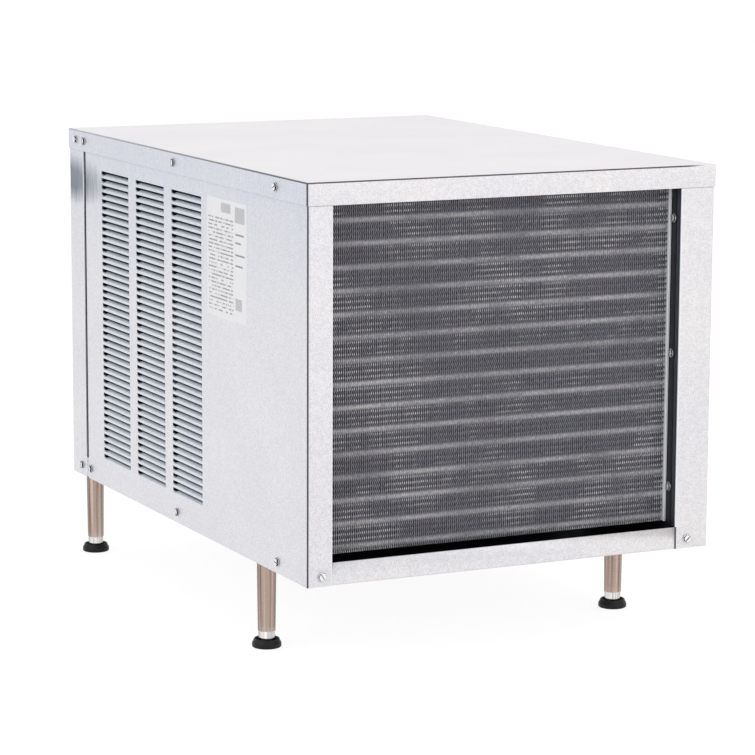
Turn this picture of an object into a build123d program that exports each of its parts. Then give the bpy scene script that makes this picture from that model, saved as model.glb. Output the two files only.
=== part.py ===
from build123d import *
import os
from math import cos, radians, sin

# A refrigeration condensing unit: a louvred sheet-metal casing on four adjustable legs,
# with an air-cooled condenser behind its front opening, a fan, a sealed compressor, a
# liquid receiver, pipework with two service valves in a recessed rear pocket, and controls.
# Millimetres. The origin is on the floor under the middle of the casing, +Z is up, the
# condenser faces -Y and +X is to its right.

os.makedirs("parts", exist_ok=True)

# ---------------------------------------------------------------- driving dimensions
# Casing
casing_width = 500.0
casing_depth = 715.0
casing_height = 436.0
leg_height = 101.6
sheet = 1.2
cover_flange = 25.0
base_flange = 25.0
post_left = 30.0
post_right = 42.0
lip_depth = 10.0
joggle_depth = 14.0
joggle_lap = 2.0
rear_wrap = 46.0
seam_gap = 0.5
tongue_lap = 12.0
tongue_reach = 18.0

# Louvres, pressed into both side panels
louvre_length = 89.0
louvre_rise = 5.6
louvre_depth = 4.6
louvre_pitch = 8.58
louvre_first = 37.7
louvre_headroom = 46.0
louvre_end_wall = 1.0
louvre_columns = 3
louvre_column_pitch = 113.0
louvre_seam_gap = 108.5

# Hex washer head sheet-metal screws
screw_radius = 2.1
screw_length = 9.0
screw_washer_radius = 5.0
screw_washer_thickness = 0.8
screw_flats = 8.0
screw_head_height = 3.0
screw_slot = 1.2
screw_hole_clearance = 0.05
cover_screw_drop = 12.0
cover_screws_from_front = (80.0, 370.0)
cover_screws_from_back = (53.0, 24.5)
side_screw_height = 13.0
side_screws_from_front = (78.0, 366.5)
side_screws_from_back = (62.3, 33.0)
front_screw_left = 17.3
front_screw_right = 26.5
front_screw_height = 11.0
rear_screw_height = 13.0
rear_screw_places = (-200.0, 0.0, 200.0)
coil_screw_low = 70.0
coil_screw_drop = 60.0
coil_screw_setback = 16.0

# Rating plate, a bare foil label on the left side
plate_front = 160.0
plate_rear = 272.0
plate_tall = 134.0
plate_drop = 40.0
plate_thickness = 0.2

# Legs and adjustable feet
leg_inset_left = 20.0
leg_inset_right = 33.0
leg_from_front = 153.0
leg_from_back = 24.0
leg_top_radius = 11.0
leg_foot_radius = 10.0
leg_stud_radius = 6.35
leg_stud_length = 15.0
leg_nut_flats = 19.0
leg_nut_height = 8.0
insert_radius = 4.75
insert_engagement = 13.0
insert_travel = 19.0
insert_end_room = 4.0
collar_radius = 9.4
collar_height = 12.5
neck_radius = 6.0
neck_depth = 4.0
pad_radius = 16.6
pad_lip_radius = 14.6
pad_cup_radius = 12.4
pad_cup_depth = 3.5
pad_height = 10.0
pad_rim = 4.0
pad_chamfer = 1.0
running_clearance = 0.05

# Condenser coil
coil_recess = 23.5
coil_lift = 29.0
tube_pitch = 25.4
tube_layers = 3
coil_headroom = 20.0
layer_pitch = 22.0
tube_radius = 4.76
tube_wall = 0.6
tube_stub = 5.0
fin_end_gap = 1.0
plate_foot = 12.0
plate_back_reach = 14.0
plate_top_gap = 2.0

# Fan, shroud and motor
shroud_depth = 45.0
orifice_gap = 8.0
orifice_collar = 15.0
fan_edge_gap = 38.1
fan_blade_count = 5
fan_blade_thickness = 1.6
fan_blade_pitch = 26.0
fan_blade_sweep = 46.0
fan_root_sweep = 36.0
fan_spider_radius = 34.0
fan_spider_thickness = 3.0
fan_root_lap = 4.0
fan_setback = 32.0
hub_radius = 14.0
hub_length = 26.0
shaft_radius = 6.35
motor_radius = 48.0
motor_length = 95.0
motor_gap = 30.0
motor_cap_radius = 38.0
motor_cap_depth = 8.0
shaft_end_room = 10.0
band_thickness = 2.5
band_width = 30.0
bracket_width = 80.0
bracket_foot = 60.0
bracket_plate = 3.0

# Sealed compressor
compressor_x = -105.0
compressor_from_front = 405.0
shell_radius = 95.0
shell_wall = 3.5
shell_height = 250.0
shell_lower_height = 137.5
shell_bottom_round = 28.0
shell_top_round = 46.0
rim_width = 3.0
rim_height = 9.0
stub_reach = 13.0
stub_wall = 2.0
discharge_rise = 40.0
suction_rise = 28.0
grommet_radius = 14.0
grommet_height = 18.0
compressor_plate = 3.0
compressor_plate_size = 190.0
compressor_bolt_spread = 80.0
saddle_radius = 60.0
saddle_height = 5.0
bolt_radius = 4.0
bolt_head_flats = 13.0
bolt_head_height = 7.0
stator_bore_radius = 45.0
stator_height = 60.0
stator_lift = 40.0
air_gap = 0.5
crank_radius = 12.0
crank_overrun = 14.0
rotor_overhang = 6.0
crankcase_thickness = 22.0
crankcase_gap = 18.0
terminal_cover_size = (26.0, 62.0, 74.0)
terminal_cover_height = 120.0
terminal_cover_round = 4.0
terminal_cover_gap = 0.3

# Receiver and pipework
receiver_x = 150.0
receiver_from_front = 545.0
receiver_radius = 50.0
receiver_height = 250.0
receiver_wall = 2.5
receiver_round = 22.0
receiver_skirt = 20.0
receiver_skirt_radius = 32.0
receiver_boss_wall = 4.0
receiver_boss_reach = 8.0
receiver_valve_height = 60.0
suction_tube_radius = 7.94
drier_radius = 22.0
drier_length = 118.0
drier_round = 9.0
bend_radius = 20.0
tight_bend = 9.6
condensate_run_height = 22.0
drier_room = 12.0
drier_stub_wall = 2.0
side_run_right_bends = 1.5
side_run_left_bends = 1.05

# Connection pocket in the rear panel
pocket_x = -40.0
pocket_height = 150.0
pocket_width = 190.0
pocket_tall = 120.0
pocket_depth = 60.0
pocket_flange = 14.0
valve_height = 132.0
valve_spread = 110.0
liquid_body_radius = 11.0
suction_body_radius = 14.5
valve_body_length = 34.0
valve_nose_length = 14.0
liquid_nose_radius = 7.94
suction_nose_radius = 11.11
bonnet_radius = 8.0
bonnet_height = 16.0
stem_radius = 4.0
stem_depth = 8.0
stem_square = 5.6
stem_rise = 10.0
stem_shoulder = 2.0
stem_end_room = 0.3
conduit_radius = 11.1
conduit_drop = 14.0

# Controls
box_x = 112.0
box_from_front = 300.0
box_size = (118.0, 120.0, 190.0)
contactor_size = (46.0, 62.0, 80.0)
plunger_size = (14.0, 18.0)
plunger_height = 12.0
plunger_depth = 20.0
plunger_travel = 4.0
plunger_clearance = 0.2
plunger_end_room = 1.0
control_size = (44.0, 74.0, 84.0)
control_round = 3.0
button_radius = 5.0
button_height = 7.0
button_travel = 3.0
button_depth = 9.0
button_end_room = 0.5

# ---------------------------------------------------------------- derived counts and places
tube_rows_that_fit = int((casing_height - coil_lift - coil_headroom) / tube_pitch)
# An odd number of rows, so that the circuit's two ends come out on opposite sides.
tube_rows = tube_rows_that_fit - (tube_rows_that_fit + 1) % 2
louvre_rows = 1 + int((casing_height - louvre_first - louvre_headroom) / louvre_pitch)
left = -casing_width / 2
right = casing_width / 2
front = -casing_depth / 2
back = casing_depth / 2
under = leg_height
top = under + casing_height
panel_top = top - sheet
floor = under + sheet
opening_left = left + post_left
opening_right = right - post_right
side_panel_end = back - rear_wrap - seam_gap

coil_front = front + coil_recess
coil_back = coil_front + tube_layers * layer_pitch
coil_bottom = under + coil_lift
coil_top = coil_bottom + tube_rows * tube_pitch
shroud_front = coil_back
shroud_back = shroud_front + shroud_depth
fan_x = (opening_left + opening_right) / 2
fan_z = (coil_bottom + coil_top) / 2
fan_radius = (coil_top - coil_bottom) / 2 - fan_edge_gap
fan_y = shroud_front + fan_setback
motor_front = fan_y + hub_length / 2 + motor_gap
motor_back = motor_front + motor_length

compressor_y = front + compressor_from_front
compressor_plate_z = floor + grommet_height
shell_bottom = compressor_plate_z + compressor_plate + saddle_height
shell_seam = shell_bottom + shell_lower_height
receiver_y = front + receiver_from_front
receiver_bottom = floor + receiver_skirt
receiver_top = receiver_bottom + receiver_height
pocket_floor = back - sheet - pocket_depth
pocket_z = under + pocket_height
valve_z = under + valve_height
liquid_x = pocket_x - valve_spread / 2
suction_x = pocket_x + valve_spread / 2
box_y = front + box_from_front

X = Vector(1, 0, 0)
Y = Vector(0, 1, 0)
Z = Vector(0, 0, 1)


# ---------------------------------------------------------------- helpers
def block(x0, x1, y0, y1, z0, z1):
    """A box between two corners."""
    size = Box(abs(x1 - x0), abs(y1 - y0), abs(z1 - z0))
    return Pos((x0 + x1) / 2, (y0 + y1) / 2, (z0 + z1) / 2) * size


def from_front(distance):
    """The Y of a point that far behind the casing's front face."""
    return front + distance


def above(height):
    """The Z of a point that far above the casing's underside."""
    return under + height


def rod(start, direction, radius, length):
    """A cylinder that runs from start along direction."""
    stem = Cylinder(radius, length, align=(Align.CENTER, Align.CENTER, Align.MIN))
    return Plane(origin=start, z_dir=direction) * stem


def hexagon(start, direction, flats, height):
    """A hexagonal prism, measured across its flats, that runs from start along direction."""
    outline = RegularPolygon(flats / 2, 6, major_radius=False)
    return Plane(origin=start, z_dir=direction) * extrude(outline, height)


def side_block(side, depth0, depth1, y0, y1, z0, z1):
    """A box against a side of the casing: its depths are measured inwards from that side."""
    outer = side * casing_width / 2
    return block(outer - side * depth0, outer - side * depth1, y0, y1, z0, z1)


def group(solids):
    """Several separate solids as one node."""
    return Compound(children=[Solid(s.solids()[0].wrapped) for s in solids])


def save(name, shape):
    """Writes one sub-part."""
    export_step(shape, f"parts/{name}.step")


def screw(seat, outward, turn=0):
    """A slotted hex washer head screw whose head sits on the point seat."""
    head = rod((0, 0, 0), Z, screw_washer_radius, screw_washer_thickness)
    head += extrude(RegularPolygon(screw_flats / 2, 6, major_radius=False), screw_head_height)
    slot_depth = screw_head_height - screw_washer_thickness
    head -= Pos(0, 0, screw_head_height) * Box(2 * screw_flats, screw_slot, slot_depth)
    head += Pos(0, 0, -screw_length / 2) * Cylinder(screw_radius, screw_length)
    return Plane(origin=seat, z_dir=outward) * (Rot(0, 0, turn) * head)


def screw_holes(places):
    """Clearance holes for screws at places, each a seat and an outward direction."""
    radius = screw_radius + screw_hole_clearance
    reach = screw_length + 1
    return [rod(Vector(*seat) - outward * reach, outward, radius, 2 * reach) for seat, outward in places]


def pipe(points, radius, bend):
    """A copper pipe along straight runs joined by bends."""
    path = FilletPolyline(*points, radius=bend)
    section = Plane(origin=path @ 0, z_dir=path % 0) * Circle(radius)
    core = Plane(origin=path @ 0, z_dir=path % 0) * Circle(radius - tube_wall)
    return sweep(section, path=path) - sweep(core, path=path)


# ---------------------------------------------------------------- screw places
cover_screw_y = [front + y for y in cover_screws_from_front] + [back - y for y in cover_screws_from_back]
side_screw_y = [front + y for y in side_screws_from_front] + [back - y for y in side_screws_from_back]
coil_screw_high = casing_height - coil_screw_drop
coil_screw_heights = (coil_screw_low, (coil_screw_low + coil_screw_high) / 2, coil_screw_high)
cover_places = [
    ((side * (casing_width / 2 + sheet), y, top - cover_screw_drop), X * side)
    for side in (-1, 1)
    for y in cover_screw_y
]
side_places = [
    ((side * casing_width / 2, y, above(side_screw_height)), X * side)
    for side in (-1, 1)
    for y in side_screw_y
]
front_places = [
    ((left + front_screw_left, front, above(front_screw_height)), -Y),
    ((right - front_screw_right, front, above(front_screw_height)), -Y),
]
rear_places = [((x, back, above(rear_screw_height)), Y) for x in rear_screw_places]
pocket_screw_x = (pocket_width + pocket_flange) / 2
pocket_screw_z = pocket_tall / 2 - pocket_flange
pocket_places = [
    ((pocket_x + i * pocket_screw_x, back, pocket_z + k * pocket_screw_z), Y)
    for i in (-1, 1)
    for k in (-1, 1)
]
coil_places = [
    ((x, from_front(coil_screw_setback), above(z)), inward)
    for x, inward in ((opening_left, X), (opening_right, -X))
    for z in coil_screw_heights
]
casing_places = side_places + front_places + rear_places + pocket_places + coil_places

# ---------------------------------------------------------------- legs and feet
leg_places = {
    "front_left": (left + leg_inset_left, from_front(leg_from_front)),
    "front_right": (right - leg_inset_right, from_front(leg_from_front)),
    "back_left": (left + leg_inset_left, back - leg_from_back),
    "back_right": (right - leg_inset_right, back - leg_from_back),
}
pad_cup_floor = pad_height - pad_cup_depth
collar_top = pad_cup_floor + collar_height
insert_length = insert_travel + insert_engagement


def leg(x, y):
    """A tapered leg with a stud on top and a threaded bore for its foot below."""
    outline = Polyline(
        (0, collar_top), (leg_foot_radius, collar_top), (leg_top_radius, under), (0, under), close=True
    )
    body = revolve(Plane.XZ * make_face(outline), Axis.Z)
    body += Pos(0, 0, under + leg_stud_length / 2) * Cylinder(leg_stud_radius, leg_stud_length)
    bore = insert_length + insert_end_room
    body -= Pos(0, 0, collar_top + bore / 2) * Cylinder(insert_radius + running_clearance, bore)
    return Pos(x, y, 0) * body


def foot_insert(x, y):
    """The bright collar and stud that screw into the leg."""
    body = rod((0, 0, pad_cup_floor), Z, collar_radius, collar_height)
    body += rod((0, 0, collar_top), Z, insert_radius, insert_length)
    body += rod((0, 0, pad_cup_floor - neck_depth), Z, neck_radius, neck_depth)
    return Pos(x, y, 0) * body


def foot_pad(x, y):
    """The round black foot: a shallow cup that the collar stands in."""
    profile = Polyline(
        (0, 0),
        (pad_radius - pad_chamfer, 0),
        (pad_radius, pad_chamfer),
        (pad_radius, pad_rim),
        (pad_lip_radius, pad_height),
        (pad_cup_radius, pad_height),
        (pad_cup_radius, pad_cup_floor),
        (0, pad_cup_floor),
        close=True,
    )
    body = revolve(Plane.XZ * make_face(profile), Axis.Z)
    body -= rod((0, 0, pad_cup_floor - neck_depth), Z, neck_radius + running_clearance, neck_depth + 1)
    return Pos(x, y, 0) * body


for corner, (x, y) in leg_places.items():
    save(f"leg_{corner}", leg(x, y))
    save(f"foot_insert_{corner}", foot_insert(x, y))
    save(f"foot_pad_{corner}", foot_pad(x, y))

leg_nuts = []
for x, y in leg_places.values():
    nut = hexagon((x, y, floor), Z, leg_nut_flats, leg_nut_height)
    nut -= rod((x, y, floor - 1), Z, leg_stud_radius + running_clearance, leg_nut_height + 2)
    leg_nuts.append(nut)
save("leg_nuts", group(leg_nuts))

# ---------------------------------------------------------------- base pan
base = block(left + sheet, right - sheet, front + sheet, back - sheet, under, floor)
for side in (-1, 1):
    base += side_block(side, sheet, 2 * sheet, front + sheet, back - sheet, under, above(base_flange))
base += block(left + sheet, right - sheet, front + sheet, front + 2 * sheet, under, above(base_flange))
base += block(left + sheet, right - sheet, back - 2 * sheet, back - sheet, under, above(base_flange))
base -= [rod((x, y, under - 1), Z, leg_stud_radius + screw_hole_clearance, 5) for x, y in leg_places.values()]
base -= screw_holes(side_places + front_places + rear_places)
save("base_pan", base)

# ---------------------------------------------------------------- top cover
cover = block(left - sheet, right + sheet, front - sheet, back + sheet, top - cover_flange, top)
cover -= block(left, right, front, back, top - cover_flange - 1, top - sheet)
cover -= screw_holes(cover_places)
save("top_cover", cover)


# ---------------------------------------------------------------- side panels
def louvre():
    """One louvre scoop: open along its top, flush along its bottom, closed at both ends."""
    face = louvre_depth - sheet
    wedge = Polyline((0, 0), (sheet, 0), (louvre_depth, louvre_rise), (0, louvre_rise), close=True)
    hollow = Polyline((0, 0), (face, louvre_rise), (face, louvre_rise + 1), (0, louvre_rise + 1), close=True)
    scoop = extrude(Plane.XZ * make_face(wedge), louvre_length / 2, both=True)
    return scoop - extrude(Plane.XZ * make_face(hollow), louvre_length / 2 - louvre_end_wall, both=True)


louvre_places = [
    (
        side_panel_end - louvre_seam_gap - column * louvre_column_pitch,
        above(louvre_first + row * louvre_pitch - louvre_rise / 2),
    )
    for column in range(louvre_columns)
    for row in range(louvre_rows)
]


def side_panel(side, post):
    """A side of the casing: louvred wall, front post, its folded lip, and a rear tongue."""
    outer = side * casing_width / 2
    length = side_panel_end - front
    height = panel_top - under
    centre_y = (side_panel_end + front) / 2
    centre_z = (panel_top + under) / 2
    outline = Rectangle(length, height)
    windows = [
        Pos(y - centre_y, z + louvre_rise / 2 - centre_z) * Rectangle(louvre_length, louvre_rise)
        for y, z in louvre_places
    ]
    face = outline - windows
    wall = Plane(origin=(outer, centre_y, centre_z), x_dir=Y, z_dir=X) * extrude(face, -side * sheet)
    lip_bottom = above(base_flange) + seam_gap
    wall += side_block(side, 0, post, front, front + sheet, under, panel_top)
    wall += side_block(side, post - sheet, post, front, from_front(lip_depth), lip_bottom, panel_top)
    joggle_start = from_front(lip_depth - joggle_lap)
    joggle_end = from_front(lip_depth + joggle_depth)
    wall += side_block(side, post - 2 * sheet, post - sheet, joggle_start, joggle_end, lip_bottom, panel_top)
    tongue_start = side_panel_end - tongue_lap
    tongue_end = side_panel_end + tongue_reach
    wall += side_block(side, sheet, 2 * sheet, tongue_start, tongue_end, lip_bottom, panel_top)
    scoop = louvre()
    if side > 0:
        scoop = mirror(scoop, Plane.YZ)
    wall += [Pos(outer, y, z) * scoop for y, z in louvre_places]
    places = cover_places + side_places + front_places + coil_places
    return wall - screw_holes(places)


save("side_panel_left", side_panel(-1, post_left))
save("side_panel_right", side_panel(1, post_right))

rating_plate = block(
    left - plate_thickness,
    left,
    from_front(plate_front),
    from_front(plate_rear),
    top - plate_drop - plate_tall,
    top - plate_drop,
)
save("rating_plate", rating_plate)

# ---------------------------------------------------------------- rear panel and pocket
rear = block(left, right, back - sheet, back, under, panel_top)
for side in (-1, 1):
    rear += side_block(side, 0, sheet, back - rear_wrap, back, under, panel_top)
pocket_left = pocket_x - pocket_width / 2
pocket_right = pocket_x + pocket_width / 2
pocket_low = pocket_z - pocket_tall / 2
pocket_high = pocket_z + pocket_tall / 2
rear -= block(pocket_left, pocket_right, back - 2 * sheet, back + 1, pocket_low, pocket_high)
rear -= screw_holes(cover_places + side_places + rear_places + pocket_places)
save("rear_panel", rear)

flange_y = back - sheet
pocket = block(
    pocket_left - pocket_flange,
    pocket_right + pocket_flange,
    flange_y - sheet,
    flange_y,
    pocket_low - pocket_flange,
    pocket_high + pocket_flange,
)
pocket += block(
    pocket_left - sheet,
    pocket_right + sheet,
    pocket_floor - sheet,
    flange_y,
    pocket_low - sheet,
    pocket_high + sheet,
)
pocket -= block(pocket_left, pocket_right, pocket_floor, flange_y + 1, pocket_low, pocket_high)
liquid_hole = rod((liquid_x, pocket_floor - 5, valve_z), Y, tube_radius + screw_hole_clearance, 10)
suction_hole = rod((suction_x, pocket_floor - 5, valve_z), Y, suction_tube_radius + screw_hole_clearance, 10)
conduit_hole = rod((pocket_x, pocket_floor - 5, valve_z - conduit_drop), Y, conduit_radius, 10)
pocket -= [liquid_hole, suction_hole, conduit_hole]
pocket -= screw_holes(pocket_places)
save("connection_pocket", pocket)

# ---------------------------------------------------------------- screws
save("cover_screws", group([screw(seat, way, 37 * i) for i, (seat, way) in enumerate(cover_places)]))
save("casing_screws", group([screw(seat, way, 53 * i) for i, (seat, way) in enumerate(casing_places)]))


# ---------------------------------------------------------------- condenser coil
def tube_place(layer, row):
    """The Y and Z of one condenser tube: each layer is half a pitch off the one before."""
    offset = tube_pitch * (0.25 if layer % 2 == 0 else 0.75)
    return coil_front + (layer + 0.5) * layer_pitch, coil_bottom + offset + row * tube_pitch


tube_places = [tube_place(layer, row) for layer in range(tube_layers) for row in range(tube_rows)]
tube_left = opening_left - sheet - tube_stub
tube_right = opening_right + sheet + tube_stub


def tube_holes(x0, x1):
    """The holes that the condenser tubes pass through."""
    radius = tube_radius + running_clearance
    return [rod((x0 - 1, y, z), X, radius, x1 - x0 + 2) for y, z in tube_places]


fins = block(
    opening_left + fin_end_gap, opening_right - fin_end_gap, coil_front, coil_back, coil_bottom, coil_top
)
fins -= tube_holes(opening_left, opening_right)
save("condenser_fins", fins)

tubes = []
for y, z in tube_places:
    outer = rod((tube_left, y, z), X, tube_radius, tube_right - tube_left)
    tubes.append(outer - rod((tube_left, y, z), X, tube_radius - tube_wall, tube_right - tube_left))
save("condenser_tubes", group(tubes))


def return_bend(end, side, first, second):
    """A U-bend that joins two tube ends on one side of the coil."""
    middle = Vector(end, (first[0] + second[0]) / 2, (first[1] + second[1]) / 2)
    across = Vector(0, second[0] - first[0], second[1] - first[1])
    radius = across.length / 2
    ring = Pos(radius, 0, 0) * (Circle(tube_radius) - Circle(tube_radius - tube_wall))
    bend = revolve(Plane.XZ * ring, Axis.Z, 180)
    bend = Plane(origin=middle, x_dir=across.normalized(), z_dir=across.cross(X * side)) * bend
    return bend


bends = []
for layer in range(tube_layers):
    for row in range(tube_rows - 1):
        on_right = row % 2 == 0
        end = tube_right if on_right else tube_left
        side = 1 if on_right else -1
        bends.append(return_bend(end, side, tube_place(layer, row), tube_place(layer, row + 1)))
last = tube_rows - 1
bends.append(return_bend(tube_right, 1, tube_place(0, last), tube_place(1, last)))
bends.append(return_bend(tube_left, -1, tube_place(1, 0), tube_place(2, 0)))
save("return_bends", group(bends))

for side, name, edge in ((-1, "left", opening_left), (1, "right", opening_right)):
    far = edge + side * sheet
    plate_start = from_front(lip_depth) + seam_gap
    plate_end = coil_back + plate_back_reach
    plate = block(edge, far, plate_start, plate_end, floor, coil_top + plate_top_gap)
    plate += block(edge, edge + side * plate_foot, coil_front, coil_back, floor, floor + sheet)
    plate -= tube_holes(min(edge, far), max(edge, far))
    plate -= screw_holes(coil_places)
    save(f"coil_plate_{name}", plate)

# ---------------------------------------------------------------- fan shroud, fan and motor
shroud = block(opening_left, opening_right, shroud_front, shroud_back, coil_bottom, coil_top)
shroud -= block(
    opening_left + sheet,
    opening_right - sheet,
    shroud_front - 1,
    shroud_back - sheet,
    coil_bottom + sheet,
    coil_top - sheet,
)
orifice_radius = fan_radius + orifice_gap
shroud += rod((fan_x, shroud_back - sheet, fan_z), Y, orifice_radius + sheet, orifice_collar)
shroud -= rod((fan_x, shroud_back - 2 * sheet, fan_z), Y, orifice_radius, orifice_collar + 3 * sheet)
save("fan_shroud", shroud)


def fan_wheel():
    """A sheet-metal fan wheel about its own Z axis: pitched blades on a flat spider."""
    tip_half = radians(fan_blade_sweep / 2)
    tip_x = fan_radius * cos(tip_half)
    tip_y = fan_radius * sin(tip_half)
    root = fan_spider_radius - fan_root_lap
    root_half = radians(fan_root_sweep / 2)
    root_x = root * cos(root_half)
    root_y = root * sin(root_half)
    outline = make_face(
        [
            Line((root_x, -root_y), (tip_x, -tip_y)),
            ThreePointArc((tip_x, -tip_y), (fan_radius, 0), (tip_x, tip_y)),
            Line((tip_x, tip_y), (root_x, root_y)),
            Line((root_x, root_y), (root_x, -root_y)),
        ]
    )
    blade = Rot(fan_blade_pitch, 0, 0) * extrude(outline, fan_blade_thickness / 2, both=True)
    wheel = Cylinder(fan_spider_radius, fan_spider_thickness)
    for number in range(fan_blade_count):
        wheel += Rot(0, 0, 360 * number / fan_blade_count) * blade
    return wheel - Cylinder(hub_radius + running_clearance, 2 * hub_length)


fan_plane = Plane(origin=(fan_x, fan_y, fan_z), x_dir=X, z_dir=-Y)
save("fan_blades", fan_plane * fan_wheel())

hub = Cylinder(hub_radius, hub_length) - Cylinder(shaft_radius + running_clearance, hub_length + 2)
save("fan_hub", fan_plane * hub)

shaft_front = fan_y - hub_length / 2
shaft_end = motor_back - shaft_end_room
save("motor_shaft", rod((fan_x, shaft_front, fan_z), Y, shaft_radius, shaft_end - shaft_front))

motor = rod((fan_x, motor_front, fan_z), Y, motor_radius, motor_length)
motor += rod((fan_x, motor_front - motor_cap_depth, fan_z), Y, motor_cap_radius, motor_cap_depth)
motor += rod((fan_x, motor_back, fan_z), Y, motor_cap_radius, motor_cap_depth)
motor -= rod(
    (fan_x, motor_front - 2 * motor_cap_depth, fan_z),
    Y,
    shaft_radius + running_clearance,
    shaft_end - motor_front + 2 * motor_cap_depth + 1,
)
save("fan_motor", motor)

band_front = motor_front + (motor_length - band_width) / 2
band_back = band_front + band_width
bracket = rod((fan_x, band_front, fan_z), Y, motor_radius + running_clearance + band_thickness, band_width)
column_front = (band_front + band_back - bracket_plate) / 2
column_back = column_front + bracket_plate
foot_front = column_front - bracket_foot / 2
foot_back = column_front + bracket_foot / 2
bracket_left = fan_x - bracket_width / 2
bracket_right = fan_x + bracket_width / 2
bracket += block(bracket_left, bracket_right, column_front, column_back, floor, fan_z)
bracket += block(bracket_left, bracket_right, foot_front, foot_back, floor, floor + bracket_plate)
bracket -= rod((fan_x, band_front - 1, fan_z), Y, motor_radius + running_clearance, band_width + 2)
save("motor_bracket", bracket)



# ---------------------------------------------------------------- compressor
def can(radius, height, bottom_round, top_round):
    """A closed can with rounded ends, standing at the origin."""
    body = rod((0, 0, 0), Z, radius, height)
    body = fillet(body.edges().sort_by(Axis.Z)[-1], top_round)
    return fillet(body.edges().sort_by(Axis.Z)[0], bottom_round)


shell = can(shell_radius, shell_height, shell_bottom_round, shell_top_round)
shell -= Pos(0, 0, shell_wall) * can(
    shell_radius - shell_wall,
    shell_height - 2 * shell_wall,
    shell_bottom_round - shell_wall,
    shell_top_round - shell_wall,
)
shell = Pos(compressor_x, compressor_y, shell_bottom) * shell
compressor_room = 2 * shell_radius
lower_space = block(
    compressor_x - compressor_room,
    compressor_x + compressor_room,
    compressor_y - compressor_room,
    compressor_y + compressor_room,
    shell_bottom - 1,
    shell_seam,
)
rim = rod((compressor_x, compressor_y, shell_seam - rim_height), Z, shell_radius + rim_width, rim_height)
rim -= rod((compressor_x, compressor_y, shell_seam - rim_height - 1), Z, shell_radius - 1, rim_height + 2)
lower_shell = (shell & lower_space) + rim
save("compressor_lower_shell", lower_shell)

discharge_z = shell_seam + discharge_rise
suction_z = shell_seam + suction_rise
upper_shell = shell - lower_space
for way, height, radius in ((X, discharge_z, tube_radius), (Y, suction_z, suction_tube_radius)):
    start = Vector(compressor_x, compressor_y, height) + way * (shell_radius - shell_wall / 2)
    upper_shell += rod(start, way, radius + stub_wall, shell_wall / 2 + stub_reach)
    upper_shell -= rod(start - way * shell_wall, way, radius - tube_wall, stub_reach + 3 * shell_wall)
save("compressor_upper_shell", upper_shell)

plate_half = compressor_plate_size / 2
bolt_places = [
    (compressor_x + i * compressor_bolt_spread, compressor_y + k * compressor_bolt_spread)
    for i in (-1, 1)
    for k in (-1, 1)
]
foot_plate = block(
    compressor_x - plate_half,
    compressor_x + plate_half,
    compressor_y - plate_half,
    compressor_y + plate_half,
    compressor_plate_z,
    compressor_plate_z + compressor_plate,
)
foot_plate = fillet(foot_plate.edges().filter_by(Axis.Z), grommet_radius)
foot_plate += rod(
    (compressor_x, compressor_y, compressor_plate_z), Z, saddle_radius, compressor_plate + saddle_height
)
foot_plate -= rod(
    (compressor_x, compressor_y, compressor_plate_z - 1),
    Z,
    saddle_radius - compressor_plate,
    compressor_plate + saddle_height + 2,
)
foot_plate -= [
    rod((x, y, compressor_plate_z - 1), Z, bolt_radius + running_clearance, compressor_plate + 2)
    for x, y in bolt_places
]
save("compressor_base", foot_plate)

grommets = []
bolts = []
for x, y in bolt_places:
    grommet = rod((x, y, floor), Z, grommet_radius, grommet_height)
    grommets.append(grommet - rod((x, y, floor - 1), Z, bolt_radius + running_clearance, grommet_height + 2))
    bolt = rod((x, y, floor), Z, bolt_radius, grommet_height + compressor_plate + 2 * bolt_head_height)
    bolt_seat = (x, y, compressor_plate_z + compressor_plate)
    bolts.append(bolt + hexagon(bolt_seat, Z, bolt_head_flats, bolt_head_height))
save("compressor_grommets", group(grommets))
save("compressor_bolts", group(bolts))

stator_bottom = shell_bottom + stator_lift
core_radius = shell_radius - shell_wall - running_clearance
stator = rod((compressor_x, compressor_y, stator_bottom), Z, core_radius, stator_height)
stator -= rod((compressor_x, compressor_y, stator_bottom - 1), Z, stator_bore_radius, stator_height + 2)
save("compressor_stator", stator)

crankcase_bottom = stator_bottom + stator_height + crankcase_gap
crankcase_top = crankcase_bottom + crankcase_thickness
rotor_radius = stator_bore_radius - air_gap
crank_length = crankcase_top + crank_overrun - stator_bottom
rotor = rod((compressor_x, compressor_y, stator_bottom), Z, rotor_radius, stator_height + rotor_overhang)
rotor += rod((compressor_x, compressor_y, stator_bottom), Z, crank_radius, crank_length)
save("compressor_rotor", rotor)

crankcase = rod((compressor_x, compressor_y, crankcase_bottom), Z, core_radius, crankcase_thickness)
crank_bore = crank_radius + running_clearance
crankcase -= rod((compressor_x, compressor_y, crankcase_bottom - 1), Z, crank_bore, crankcase_thickness + 2)
save("compressor_crankcase", crankcase)

cover_depth, cover_wide, cover_tall = terminal_cover_size
terminal_z = shell_bottom + terminal_cover_height - cover_tall / 2
terminal_cover = block(
    compressor_x + shell_radius - cover_depth / 2,
    compressor_x + shell_radius + cover_depth,
    compressor_y - cover_wide / 2,
    compressor_y + cover_wide / 2,
    terminal_z - cover_tall / 2,
    terminal_z + cover_tall / 2,
)
terminal_cover = fillet(terminal_cover.edges().group_by(Axis.X)[-1], terminal_cover_round)
cover_seat = shell_radius + terminal_cover_gap
terminal_cover -= rod((compressor_x, compressor_y, shell_bottom), Z, cover_seat, shell_height)
save("terminal_cover", terminal_cover)

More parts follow.
